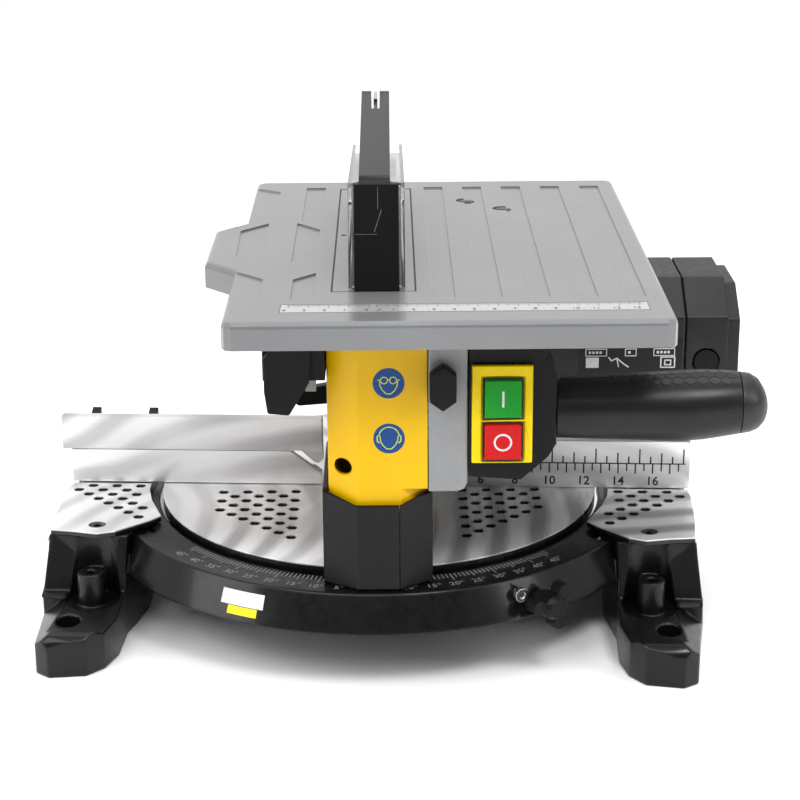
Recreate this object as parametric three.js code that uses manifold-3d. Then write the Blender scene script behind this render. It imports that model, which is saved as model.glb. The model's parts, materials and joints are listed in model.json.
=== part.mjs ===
// Combination mitre saw with an upper saw table, head locked down.
// Millimetres, +Z up, +X right along the fence, +Y to the back.
// While modelling, z = 0 is the turntable's top and y = 0 lies under the motor's axis; the whole
// object is shifted at the end so that its origin is the bottom centre of its bounding box.
import * as THREE from "three";
import { mergeVertices } from "three/addons/utils/BufferGeometryUtils.js";
import Module from "manifold-3d";

const wasm = await Module();
wasm.setup();

// ---------------------------------------------------------------- driving dimensions
const FLOOR = -60; // underside of the feet
const GAP = 0.3; // air between pieces that touch
const PIVOT_Y = -6.3; // mitre pivot, in the thickness of the fence
const MITRE_AT_REST = 3.3; // degrees, the saw stands slightly turned
const DISC_R = 127; // turntable
const WALL_R = 151.5; // front wall's top edge
const BAND_Z = -4.3; // mitre scale band's surface
const FENCE_Y = -13; // front faces of the fences
const FENCE_T = 7;
const FENCE_H = 29.2;
const UPPER_FENCE_H = 41.2;
const SPINDLE = { y: -32, z: 85 };
const BLADE_R = 105;
const MOTOR = { y: 0, z: 85 };
const CHOP = { y: 150, z: 62 };
const TABLE_TOP = 152.1;
const TABLE_X = [-74.8, 147];
const TABLE_Y = [-188, 122.7];
const SKIRT_Z = 138.2;
const CASING_FRONT = -150;
const REAR_COLUMN = { x: 63.5, y: 57.5, r: 8 };
const FRONT_COLUMN = { x: 36.5, y: -118, r: 6 };
const HOOD_PIN = { y: 54, z: 173 };
const LOCK_SHAFT = { x: -41, z: 128 };
const GRIP = { y: -135, z: 90 };
const HEX_R = 3.4; // pockets of the turntable and wings
const HEX_PITCH = 14.1; // between pockets in a row
const ROW_PITCH = 6.9; // between rows, which are staggered
const RIM_SEGMENTS = 72; // facets round the turntable and the front wall

// ---------------------------------------------------------------- materials
function paint(color, roughness, metalness) {
  return new THREE.MeshStandardMaterial({ color, roughness, metalness });
}
const BLACK_CAST = () => paint(0x1b1b1c, 0.45, 0.2);
const MACHINED = () => paint(0xc4c5c7, 0.32, 0.9);
const CAST_GREY = () => paint(0x9a9b9d, 0.5, 0.6);
const STEEL = () => paint(0x8d8f92, 0.35, 0.95);
const DARK_STEEL = () => paint(0x2c2c2e, 0.4, 0.8);
const BLACK_PLASTIC = () => paint(0x202021, 0.55, 0);
const YELLOW = () => paint(0xf0c800, 0.45, 0);
const COPPER = () => paint(0xb06a3a, 0.4, 0.9);

// ---------------------------------------------------------------- solids
function solid(geometry) {
  const bare = geometry.index ? geometry.toNonIndexed() : geometry.clone();
  bare.deleteAttribute("normal");
  bare.deleteAttribute("uv");
  const merged = mergeVertices(bare, 1e-4);
  return new wasm.Manifold(
    new wasm.Mesh({
      numProp: 3,
      vertProperties: merged.attributes.position.array,
      triVerts: new Uint32Array(merged.index.array),
    }),
  );
}

const join = (first, ...rest) => rest.reduce((sum, s) => sum.add(s), first);
const cut = (first, ...rest) => rest.reduce((left, s) => left.subtract(s), first);
const both = (a, b) => a.intersect(b);

function extrude(points, depth, basis) {
  const shape = new THREE.Shape(points.map(([a, b]) => new THREE.Vector2(a, b)));
  const geometry = new THREE.ExtrudeGeometry(shape, { depth, bevelEnabled: false });
  return geometry.applyMatrix4(basis);
}

// Prisms named by the axis they run along; points are given in the two other axes, in x, y, z order.
function prismZ(points, z0, z1) {
  return solid(extrude(points, z1 - z0, new THREE.Matrix4().makeTranslation(0, 0, z0)));
}
// The same with its top edge rounded over.
function slab(points, z0, z1, radius) {
  const shape = new THREE.Shape(points.map(([a, b]) => new THREE.Vector2(a, b)));
  const geometry = new THREE.ExtrudeGeometry(shape, {
    depth: z1 - z0,
    bevelThickness: radius,
    bevelSize: radius,
    bevelOffset: -radius,
    bevelSegments: 3,
  });
  return both(solid(geometry.translate(0, 0, z0 - radius)), box(-300, 300, -300, 300, z0, z1 + 1));
}
function prismX(points, x0, x1) {
  const turn = new THREE.Matrix4().set(0, 0, 1, x0, 1, 0, 0, 0, 0, 1, 0, 0, 0, 0, 0, 1);
  return solid(extrude(points, x1 - x0, turn));
}
function prismY(points, y0, y1) {
  const turn = new THREE.Matrix4().set(1, 0, 0, 0, 0, 0, -1, y1, 0, 1, 0, 0, 0, 0, 0, 1);
  return solid(extrude(points, y1 - y0, turn));
}
function box(x0, x1, y0, y1, z0, z1) {
  const geometry = new THREE.BoxGeometry(x1 - x0, y1 - y0, z1 - z0);
  return solid(geometry.translate((x0 + x1) / 2, (y0 + y1) / 2, (z0 + z1) / 2));
}
// A turned piece: profile of [radius, height] from the axis back to the axis, height along Z.
function turned(profile, segments = 20) {
  const points = profile.map(([r, h]) => new THREE.Vector2(r, h));
  return new THREE.LatheGeometry(points, segments).rotateX(Math.PI / 2);
}
function rod(axis, a, b, r, from, to, segments = 20) {
  const geometry = new THREE.CylinderGeometry(r, r, to - from, segments);
  const mid = (from + to) / 2;
  if (axis === "x") return solid(geometry.rotateZ(-Math.PI / 2).translate(mid, a, b));
  if (axis === "y") return solid(geometry.translate(a, mid, b));
  return solid(geometry.rotateX(Math.PI / 2).translate(a, b, mid));
}
const circle = (cx, cy, r, n, phase = 0) =>
  Array.from({ length: n }, (_, i) => {
    const t = phase + (i * 2 * Math.PI) / n;
    return [cx + r * Math.cos(t), cy + r * Math.sin(t)];
  });

// Places a solid made around the origin along +Z so that its axis points outwards at a bearing in plan.
function outwards(geometry, bearing, radius, z) {
  geometry.rotateY(Math.PI / 2);
  geometry.rotateZ(bearing);
  geometry.translate(radius * Math.cos(bearing), PIVOT_Y + radius * Math.sin(bearing), z);
  return solid(geometry);
}

// ---------------------------------------------------------------- scene groups
const machine = new THREE.Group();
const base = new THREE.Group();
const saw = new THREE.Group();
machine.add(base, saw);
const turn = THREE.MathUtils.degToRad(MITRE_AT_REST);
saw.rotation.z = turn;
saw.position.set(PIVOT_Y * Math.sin(turn), PIVOT_Y * (1 - Math.cos(turn)), 0);

function place(group, name, shape, material) {
  const { vertProperties, triVerts } = shape.getMesh();
  const geometry = new THREE.BufferGeometry();
  geometry.setAttribute("position", new THREE.BufferAttribute(Float32Array.from(vertProperties), 3));
  geometry.setIndex(new THREE.BufferAttribute(Uint32Array.from(triVerts), 1));
  geometry.computeVertexNormals();
  const mesh = new THREE.Mesh(geometry, material);
  mesh.name = name;
  group.add(mesh);
}

// ---------------------------------------------------------------- base casting
const WING_REAR = FENCE_Y - GAP;
const WING_OUTLINE = [
  [180.5, WING_REAR],
  [181.5, -25],
  [181, -58],
  [178.8, -86],
  [164.3, -88],
  [152, -91],
  [142.5, -87.3],
  [125.5, -71.2],
  [120.4, -64.3],
  [129.7, -40],
  [133.5, -24.3],
  [134.4, WING_REAR],
];
const WING_SCREW = [154.2, -78];
const FOOT_POST = [154.6, -101];
const FOOT_HOLE = [163, -125.5];
const POST_RECESS = { x: 154.3, y: -99, r: 15 };
const ARC_HALF = THREE.MathUtils.degToRad(60);

function frontArc() {
  const profile = [
    [129, BAND_Z],
    [129, -9],
    [147, -9],
    [155, -24.3],
    [160.5, -24.3],
    [WALL_R, BAND_Z],
    [129, BAND_Z],
  ];
  const ring = solid(turned(profile, RIM_SEGMENTS).translate(0, PIVOT_Y, 0));
  const far = 260;
  const side = far * Math.tan(ARC_HALF);
  const wedge = prismZ(
    [
      [0, PIVOT_Y],
      [-side, PIVOT_Y - far],
      [side, PIVOT_Y - far],
    ],
    -30,
    0,
  );
  const sideRim = cut(rod("z", 0, PIVOT_Y, 140, -10, BAND_Z, RIM_SEGMENTS), box(-150, 150, 5, 150, -11, 0));
  return join(both(ring, wedge), sideRim);
}

// One side of the base, on +X: pillar under the wing, sloping front, foot, rear leg.
function pillar() {
  const top = WING_OUTLINE.map(([x, y]) => [Math.max(x, 128), y === WING_REAR ? 32 : y]);
  const upper = prismZ(top, -30, -3 - GAP);
  const body = prismX(
    [
      [-150, FLOOR],
      [70, FLOOR],
      [70, -22],
      [32, -8],
      [32, -3.5],
      [-86, -3.5],
      [-93, -34],
      [-138, -38.5],
      [-140.5, -36.6],
      [-144.5, -37],
      [-148, -39.6],
      [-150, -44],
    ],
    120,
    190,
  );
  const plan = prismZ(
    [
      [137, -121],
      [141.5, -137],
      [150, -147],
      [170, -150],
      [178, -144],
      [183, -100],
      [187, -70],
      [187, 70],
      [140, 70],
      [134, 34],
      [131, -60],
      [137, -92],
    ],
    FLOOR,
    -3.4,
  );
  const lean = prismY(
    [
      [120, FLOOR],
      [187, FLOOR],
      [179.5, -3],
      [120, -3],
    ],
    -160,
    80,
  );
  const footSlope = prismY(
    [
      [168, -35],
      [190, -52],
      [190, -35],
    ],
    -160,
    -96,
  );
  const post = rod("z", ...FOOT_POST, 7.5, -40, -18.6);
  const web = box(150, 159, -100, -80, -40, -23);
  const recess = rod("z", POST_RECESS.x, POST_RECESS.y, POST_RECESS.r, -37.5, 0, 32);
  const hollow = box(143, 172, -76, 24, FLOOR - 1, -14);
  const shell = cut(join(both(both(body, plan), lean), both(upper, lean)), recess, footSlope);
  return cut(
    join(shell, web, post),
    hollow,
    rod("z", ...FOOT_HOLE, 6.5, FLOOR - 1, -20),
    rod("z", ...FOOT_POST, 2.6, -34, -10),
    rod("z", ...WING_SCREW, 2.8, -26, 0),
  );
}

function floorWeb() {
  const plate = rod("z", 0, PIVOT_Y, 86, -46, -40, 32);
  const bar = box(-146, 146, -40, 24, -46, -40);
  const boss = rod("z", 0, PIVOT_Y, 24, -46, -38);
  return cut(join(plate, bar, boss), rod("z", 0, PIVOT_Y, 6.4, -50, -30));
}

const LOCK_BEARING = THREE.MathUtils.degToRad(-54.2);
const STOP_BEARING = THREE.MathUtils.degToRad(-58.5);
const LOCK_Z = -15.5;
const STOP_Z = -10.5;

function baseCasting() {
  const right = pillar();
  const left = right.mirror([1, 0, 0]);
  const body = cut(
    join(frontArc(), right, left),
    rod("z", 0, PIVOT_Y, 128.8, -39.9, 2, RIM_SEGMENTS),
  );
  const bore = (r) => new THREE.CylinderGeometry(r, r, 40, 16).rotateX(Math.PI / 2);
  const lockHole = outwards(bore(3.6), LOCK_BEARING, 155, LOCK_Z);
  const stopHole = outwards(bore(2), STOP_BEARING, 155, STOP_Z);
  return cut(join(body, floorWeb()), lockHole, stopHole);
}
place(base, "base_casting", baseCasting(), BLACK_CAST());

// ---------------------------------------------------------------- hexagonal pockets
function pockets(rows, depth, top) {
  return rows.flatMap(([y, xs]) => xs.map((x) => prismZ(circle(x, y, HEX_R, 6), top - depth, top + 1)));
}
// Rows of pockets from the fence forwards: each starts so many half pitches from x0 and holds a count.
function staggered(x0, y0, rows) {
  return rows.map(([halves, count], row) => [
    y0 - row * ROW_PITCH,
    Array.from({ length: count }, (_, i) => x0 + (halves / 2 + i) * HEX_PITCH),
  ]);
}
const DISC_ROWS = staggered(48.3, -21, [
  [0, 4],
  [1, 3],
  [0, 4],
  [1, 3],
  [0, 4],
  [1, 3],
  [0, 3],
  [1, 2],
  [0, 2],
  [1, 1],
  [0, 1],
]);
const WING_ROWS = staggered(132.9, -17.6, [
  [1, 3],
  [2, 3],
  [1, 3],
  [2, 2],
  [1, 2],
  [0, 2],
  [1, 1],
  [0, 1],
]);

// ---------------------------------------------------------------- wing plates and their screws
function wingPlate() {
  const plate = prismZ(WING_OUTLINE, -3, 0);
  return cut(plate, ...pockets(WING_ROWS, 1.4, 0), rod("z", ...WING_SCREW, 4.9, -4, 1));
}
function wingScrew() {
  const head = rod("z", ...WING_SCREW, 4.5, -2.9, -0.7);
  const shank = rod("z", ...WING_SCREW, 2.4, -18, -2.8, 16);
  return cut(join(head, shank), prismZ(circle(...WING_SCREW, 2.2, 6), -2.4, 0));
}
const flip = (shape) => shape.mirror([1, 0, 0]);
place(base, "wing_plate_right", wingPlate(), MACHINED());
place(base, "wing_plate_left", flip(wingPlate()), MACHINED());
place(base, "wing_screw_right", wingScrew(), DARK_STEEL());
place(base, "wing_screw_left", flip(wingScrew()), DARK_STEEL());

function pivotBolt() {
  const head = prismZ(circle(0, PIVOT_Y, 10, 6), -53, -46 - GAP);
  return join(head, rod("z", 0, PIVOT_Y, 6, -46.5, -26));
}
place(base, "pivot_bolt", pivotBolt(), STEEL());

// ---------------------------------------------------------------- fences
const FENCE_BACK = FENCE_Y + FENCE_T;
const RIGHT_END = 181.5;
const LEFT_END = -181;
const UPPER_END = [-186, -32.5];
const UPPER_Z = 21.2; // bottom of the sliding upper fence
const KNOB_X = [-168, -134];
const KNOB_Z = 27.2;
const FENCE_FRONT_T = 3.7; // the lower fence's front skin, behind which the upper fence's tongue slides
const FENCE_TRAVEL = 60;

// Foot that bolts each fence to its pillar, given on +X.
function fenceFoot() {
  return box(137, 178, FENCE_BACK - 0.5, 17, -3, 7);
}
function rightFence() {
  const wall = box(34, RIGHT_END, FENCE_Y, FENCE_BACK, 0.6, FENCE_H);
  const rib = box(40, 178, FENCE_BACK - 0.5, FENCE_BACK + 8, 3, 9);
  return join(wall, rib, fenceFoot());
}
function lowerFence() {
  const top = UPPER_Z - 0.4;
  const face = prismY(
    [
      [LEFT_END, 0.6],
      [-33.4, 0.6],
      [-33.4, 7.3],
      [-51.2, top],
      [LEFT_END, top],
    ],
    FENCE_Y,
    FENCE_BACK,
  );
  const backing = box(LEFT_END, -75, FENCE_BACK, FENCE_BACK + 5, 0.6, 36);
  const tongueRoom = box(-53 - FENCE_TRAVEL, -20, FENCE_Y + FENCE_FRONT_T, FENCE_BACK, 11, UPPER_Z);
  const holes = KNOB_X.map((x) => rod("y", x, KNOB_Z, 2.8, FENCE_BACK - 2, FENCE_BACK + 7, 20));
  return cut(join(face, backing, flip(fenceFoot())), tongueRoom, ...holes);
}
function upperFence() {
  const back = FENCE_BACK - GAP;
  const bar = box(...UPPER_END, FENCE_Y, back, UPPER_Z, UPPER_FENCE_H);
  const tongue = prismY(
    [
      [-48, UPPER_Z + 1],
      [-38, 13],
      [-35.3, 12.2],
      [-32.5, 14.6],
      [-32.5, UPPER_Z + 1],
    ],
    FENCE_Y + FENCE_FRONT_T + GAP,
    back,
  );
  const groove = box(-200, -70, FENCE_Y + 3.2, FENCE_BACK, KNOB_Z - 3, KNOB_Z + 3);
  return cut(join(bar, tongue), groove);
}
// The clamping knobs: head in the upper fence's groove, wing behind the lower fence's backing.
function fenceKnob(x) {
  const y = FENCE_Y;
  const head = rod("y", x, KNOB_Z, 2.6, y + 3.5, y + 6.2, 16);
  const shank = rod("y", x, KNOB_Z, 2.4, y + 6, y + 13, 16);
  const hub = rod("y", x, KNOB_Z, 6, y + 12.3, y + 20, 20);
  const wing = prismX(
    [
      [y + 13, KNOB_Z - 12],
      [y + 18, KNOB_Z - 14],
      [y + 20, KNOB_Z],
      [y + 18, KNOB_Z + 14],
      [y + 13, KNOB_Z + 12],
    ],
    x - 2.6,
    x + 2.6,
  );
  return join(head, shank, hub, wing);
}
place(base, "fence_right", rightFence(), MACHINED());
place(base, "fence_left_lower", lowerFence(), MACHINED());
place(base, "fence_left_upper", upperFence(), MACHINED());
place(base, "fence_knob_outer", fenceKnob(KNOB_X[0]), BLACK_PLASTIC());
place(base, "fence_knob_inner", fenceKnob(KNOB_X[1]), BLACK_PLASTIC());

// ---------------------------------------------------------------- mitre lock knob and stop screw
function lockKnob() {
  const lobes = Array.from({ length: 3 }, (_, i) => {
    const angle = 0.35 + (i * 2 * Math.PI) / 3;
    const lobe = new THREE.CylinderGeometry(4, 4, 8, 10).rotateX(Math.PI / 2);
    const arm = new THREE.BoxGeometry(9, 5.6, 7);
    lobe.translate(10 * Math.cos(angle), 10 * Math.sin(angle), 10);
    arm.rotateZ(angle).translate(5 * Math.cos(angle), 5 * Math.sin(angle), 10);
    return [outwards(lobe, LOCK_BEARING, 159, LOCK_Z), outwards(arm, LOCK_BEARING, 159, LOCK_Z)];
  }).flat();
  const hubProfile = [
    [0, 1],
    [5.5, 1],
    [7, 5],
    [7, 14],
    [5, 17],
    [0, 17],
  ];
  const shaftProfile = [
    [0, -14],
    [3, -14],
    [3, 4],
    [0, 4],
  ];
  const hub = outwards(turned(hubProfile, 14), LOCK_BEARING, 159, LOCK_Z);
  const shaft = outwards(turned(shaftProfile, 12), LOCK_BEARING, 159, LOCK_Z);
  return join(hub, shaft, ...lobes);
}
function stopScrew() {
  const profile = [
    [0, -9],
    [1.7, -9],
    [1.7, 1.2],
    [4, 1.2],
    [4, 4],
    [2, 4],
    [2, 3],
    [0, 3],
  ];
  return outwards(turned(profile, 10), STOP_BEARING, 156.4, STOP_Z);
}
place(base, "mitre_lock_knob", lockKnob(), BLACK_PLASTIC());
place(base, "mitre_stop_screw", stopScrew(), STEEL());

// ---------------------------------------------------------------- turntable
const SLOT = { x0: -14, x1: 14, y0: -117, y1: 62 };
const TRUNK_R = 34;

function turntable() {
  const disc = rod("z", 0, PIVOT_Y, DISC_R, -8, 0, RIM_SEGMENTS);
  const skirt = cut(rod("z", 0, PIVOT_Y, 124, -18, -7, 36), rod("z", 0, PIVOT_Y, 118, -19, -8, 36));
  const trough = box(-20, 22, -121, 66, -27, -7);
  const hub = rod("z", 0, PIVOT_Y, 30, -38 + GAP, -23);
  const trunk = box(-24, 24, 60, 124, -30, -1);
  const flange = rod("y", 0, 0, TRUNK_R, 122, 130, 28);
  const body = join(disc, skirt, trough, hub, trunk, flange);
  const bladeRoom = box(-11, 11, SLOT.y0 + 1.5, SLOT.y1 - 1.5, -23, 1);
  const insertSeat = box(SLOT.x0, SLOT.x1, SLOT.y0, SLOT.y1, -3, 1);
  const ruled = [DISC_ROWS, DISC_ROWS.map(([y, xs]) => [y, xs.map((x) => -x)])];
  const well = box(-16, 18, SLOT.y0 + 1.5, SLOT.y1 - 1.5, -23, -8);
  return cut(
    body,
    bladeRoom,
    well,
    insertSeat,
    ...ruled.flatMap((rows) => pockets(rows, 1.4, 0)),
    rod("z", 0, PIVOT_Y, 6.4, -40, -24.5),
    rod("y", 0, 0, 6.4, 110, 140),
  );
}
function kerfInsert() {
  const plate = box(SLOT.x0 + GAP, SLOT.x1 - GAP, SLOT.y0 + GAP, SLOT.y1 - GAP, -2.8, -0.1);
  return cut(plate, box(-2.4, 5.2, SLOT.y0 + 8, SLOT.y1 - 4, -4, 1));
}
place(saw, "turntable", turntable(), MACHINED());
place(saw, "kerf_insert", kerfInsert(), BLACK_PLASTIC());

// ---------------------------------------------------------------- bevel pivot, bracket and chop pivot
const EAR_LEFT = [-32, -20.4];
const EAR_RIGHT = [40.4, 52];

const LEVER_Y = [167.5, 174.5]; // the lever swings behind the bracket
function bevelBolt() {
  return join(rod("y", 0, 0, 6, 112, 174), prismY(circle(0, 0, 11, 6), 140.4, 146));
}
function bevelLever() {
  const hub = rod("y", 0, 0, 10, 147, LEVER_Y[1]);
  const arm = prismY(
    [
      [-4, 8],
      [-58, -1],
      [-62, -7],
      [-55, -12],
      [-2, -8],
    ],
    ...LEVER_Y,
  );
  return cut(join(hub, arm), rod("y", 0, 0, 6.3, 140, 180));
}
function bevelBracket() {
  const flange = rod("y", 0, 0, TRUNK_R, 130.4, 140, 28);
  const block = prismX(
    [
      [130.4, 16],
      [166, 16],
      [166, 42],
      [134, 42],
      [130.4, 38],
    ],
    EAR_LEFT[0],
    EAR_RIGHT[1],
  );
  const ear = (x0, x1) =>
    prismX(
      [
        [134, 40],
        [166, 40],
        [166, 66],
        [158, 78],
        [142, 78],
        [134, 66],
      ],
      x0,
      x1,
    );
  const pinBore = rod("x", CHOP.y, CHOP.z, 6.3, -60, 70);
  const lockBore = rod("x", CHOP.y - 10, CHOP.z - 6, 3.4, -60, -10, 16);
  const body = join(flange, block, ear(...EAR_LEFT), ear(...EAR_RIGHT));
  return cut(body, pinBore, lockBore, rod("y", 0, 0, 6.4, 120, 150));
}
function chopPin() {
  return join(
    rod("x", CHOP.y, CHOP.z, 6, EAR_LEFT[0] - 1, 66),
    rod("x", CHOP.y, CHOP.z, 8, EAR_LEFT[0] - 5, EAR_LEFT[0] - GAP),
  );
}
function returnSpring() {
  const turns = 4;
  const steps = turns * 12;
  const path = Array.from({ length: steps + 1 }, (_, i) => {
    const angle = (i / 12) * 2 * Math.PI;
    const x = EAR_RIGHT[1] + 2 + (i / steps) * 10;
    return new THREE.Vector3(x, CHOP.y + 8.2 * Math.cos(angle), CHOP.z + 8.2 * Math.sin(angle));
  });
  const wire = new THREE.Shape(circle(0, 0, 1.1, 5).map(([a, b]) => new THREE.Vector2(a, b)));
  const curve = new THREE.CatmullRomCurve3(path);
  return solid(new THREE.ExtrudeGeometry(wire, { steps: 48, extrudePath: curve }));
}
function lockDownPin() {
  const y = CHOP.y - 10;
  const z = CHOP.z - 6;
  return join(rod("x", y, z, 3, -50, -20.6, 16), rod("x", y, z, 8, -58, -46, 20));
}
place(saw, "bevel_bolt", bevelBolt(), STEEL());
place(saw, "bevel_lever", bevelLever(), BLACK_PLASTIC());
place(saw, "bevel_bracket", bevelBracket(), CAST_GREY());
place(saw, "chop_pin", chopPin(), STEEL());
place(saw, "return_spring", returnSpring(), STEEL());
place(saw, "lock_down_pin", lockDownPin(), BLACK_PLASTIC());

// ---------------------------------------------------------------- head casting
const PLATE_X = [26.4, 46.5];
const PLATE_BOTTOM = 49.5;
const GEARCASE_X = [33, 61.6];
const GUARD_ROOM = 29.4; // the guard slides up between this plane and the casing

function frontPlate() {
  const corner = 5;
  return prismY(
    [
      [PLATE_X[0], PLATE_BOTTOM],
      [PLATE_X[1] - corner, PLATE_BOTTOM],
      [PLATE_X[1] - 1.5, PLATE_BOTTOM + 1.5],
      [PLATE_X[1], PLATE_BOTTOM + corner],
      [PLATE_X[1], 137],
      [PLATE_X[0], 137],
    ],
    CASING_FRONT,
    CASING_FRONT + 7,
  );
}
function gearcase() {
  const outer = [
    [-70, 62],
    [-48, 44],
    [24, 42],
    [46, 60],
    [46, 112],
    [28, 130],
    [-50, 130],
    [-70, 110],
  ];
  const inner = outer.map(([y, z]) => [y * 0.9 - 1, 85 + (z - 85) * 0.88]);
  const wall = prismX(outer, ...GEARCASE_X);
  const room = prismX(inner, GEARCASE_X[0] + 4, GEARCASE_X[1] - 4);
  return cut(wall, room, rod("x", MOTOR.y, MOTOR.z, 14, 50, 70));
}
function rearArm() {
  const beam = prismX(
    [
      [40, 100],
      [40, 64],
      [100, 50],
      [140, 50],
      [162, 56],
      [160, 74],
      [140, 78],
      [96, 118],
      [60, 122],
    ],
    PLATE_X[0],
    38,
  );
  const knuckle = rod("x", CHOP.y, CHOP.z, 15, EAR_LEFT[1] + 0.4, EAR_RIGHT[0] - 0.4);
  return join(beam, knuckle);
}
function headCasting() {
  const sidePlate = join(box(GUARD_ROOM, 34, -144, 60, 62, 118), box(PLATE_X[0], 34, -46, 60, 62, 118));
  const frontGuide = box(GUARD_ROOM, 46, -128, -108, 72, 124);
  const plate = cut(frontPlate(), box(PLATE_X[0] - 1, GUARD_ROOM, -145.6, -140, 40, 140));
  const rearGuide = rod("z", REAR_COLUMN.x, REAR_COLUMN.y, 11.6, 74, 128);
  const rib = box(30, 60, 48, 64, 76, 112);
  const knifeBoss = rod("x", 88, 88, 8, 1.5, 30, 20);
  const body = join(sidePlate, plate, frontGuide, gearcase(), rib, rearGuide, rearArm(), knifeBoss);
  return cut(
    body,
    rod("x", SPINDLE.y, SPINDLE.z, 8.4, 20, 58),
    rod("x", CHOP.y, CHOP.z, 6.3, -30, 60),
    rod("x", CHOP.y - 10, CHOP.z - 6, 3.4, -30, -8, 16),
    rod("z", REAR_COLUMN.x, REAR_COLUMN.y, REAR_COLUMN.r + GAP, 60, 140),
    rod("z", FRONT_COLUMN.x, FRONT_COLUMN.y, FRONT_COLUMN.r + GAP, 60, 140),
  );
}
place(saw, "head_casting", headCasting(), CAST_GREY());

// ---------------------------------------------------------------- blade casing
const CASING_PLAN = [
  [-10, CASING_FRONT],
  [26, CASING_FRONT],
  [26, 100],
  [16, 110],
  [-15, 110],
  [-25.5, 100],
  [-25.5, -139],
];
const CASING_PLAN_INSIDE = [
  [-8.8, -147],
  [23, -147],
  [23, 98],
  [14.5, 107],
  [-13.5, 107],
  [-22.5, 98],
  [-22.5, -137.4],
];
// Everything of the casing lies above this slope, so that it clears the turntable at full bevel.
function aboveBevelSlope(offset) {
  return prismY(
    [
      [-60, 60 + offset],
      [60, offset - 60],
      [60, 200],
      [-60, 200],
    ],
    -200,
    200,
  );
}
const BEVEL_SLOPE = 1.2;
const REAR_SLOPE = 31.5; // behind the guard the casing also clears the fences
const CASING_WALL = 3;
// The lower left edge behind y, left of the blade's room, under a slope.
const lowerLeft = (y, offset) => cut(box(-60, -6, y, 200, -100, 200), aboveBevelSlope(offset));
function bladeCasing() {
  const outside = prismX(
    [
      [CASING_FRONT, 14],
      [-50, 14],
      [-50, 42],
      [72, 42],
      [98, 64],
      [110, 96],
      [110, 137.4],
      [CASING_FRONT, 137.4],
    ],
    -40,
    40,
  );
  const inside = prismX(
    [
      [-148, 0],
      [66, 0],
      [66, 45],
      [69, 45],
      [94, 66],
      [107, 98],
      [107, 150],
      [-148, 150],
    ],
    -40,
    40,
  );
  const body = both(both(prismZ(CASING_PLAN, 0, 150), outside), aboveBevelSlope(BEVEL_SLOPE));
  const inset = CASING_WALL * Math.SQRT2;
  const room = both(both(prismZ(CASING_PLAN_INSIDE, -10, 160), inside), aboveBevelSlope(BEVEL_SLOPE + inset));
  const hollow = cut(room, lowerLeft(-50 - CASING_WALL, REAR_SLOPE + inset));
  const shell = cut(body, lowerLeft(-50, REAR_SLOPE), hollow);
  const lowCorner = prismZ(
    [
      [11.3, CASING_FRONT - 1],
      [27, CASING_FRONT - 1],
      [27, -140],
      [26.2, -140],
    ],
    0,
    51,
  );
  const innerCorner = prismZ(
    [
      [11, CASING_FRONT + 3],
      [24, CASING_FRONT + 3],
      [24, -138],
    ],
    14,
    51,
  );
  return cut(
    join(shell, both(innerCorner, prismZ(CASING_PLAN, 14, 51))),
    lowCorner,
    rod("x", SPINDLE.y, SPINDLE.z, 27, 20, 30),
    rod("x", SPINDLE.y, SPINDLE.z, 25, -30, -20),
    rod("x", 88, 88, 8.4, 20, 30, 20),
    rod("y", -17.5, 61.7, 4.6, -154, -136, 20),
  );
}
function arborCover() {
  const disc = rod("x", SPINDLE.y, SPINDLE.z, 24.6, -26, -23, 28);
  const cap = rod("x", SPINDLE.y, SPINDLE.z, 27.5, -27.6, -25.8, 28);
  return join(disc, cap);
}
place(saw, "blade_casing", bladeCasing(), YELLOW());
place(saw, "arbor_cover", arborCover(), BLACK_PLASTIC());

// ---------------------------------------------------------------- lower guard: sliding part, fixed right
const GUARD_PLAN = [
  [-10.4, -155],
  [11.2, -155],
  [28.7, -143],
  [28.7, -50],
  [-28.7, -50],
  [-28.7, -143],
];
const GUARD_PLAN_INSIDE = [
  [-11.3, -152.6],
  [12, -152.6],
  [26.4, -142],
  [26.4, -40],
  [-26.1, -40],
  [-26.1, -142],
];
const GUARD_SEAM = 11.2;
function guardShell(x0, x1) {
  const side = prismX(
    [
      [-156, -3.3],
      [-137, -3.3],
      [-135, 0.7],
      [-49, 0.7],
      [-49, 26],
      [-62, 46],
      [-140, 48.6],
      [-156, 42.5],
    ],
    x0,
    x1,
  );
  return cut(both(prismZ(GUARD_PLAN, -5, 60), side), prismZ(GUARD_PLAN_INSIDE, -6, 61));
}
place(saw, "lower_guard", guardShell(-40, GUARD_SEAM), BLACK_PLASTIC());
place(saw, "guard_corner", guardShell(GUARD_SEAM + GAP, 40), BLACK_PLASTIC());

// ---------------------------------------------------------------- handle, switch and grip
const SWITCH = { x0: 48.4, x1: 79.4, z0: 66.2, z1: 118.6 };
const BUTTON_X = [54.9, 73.6];
const START_Z = [91.2, 111.2];
const STOP_Z_SPAN = [68.6, 87.4];

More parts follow.
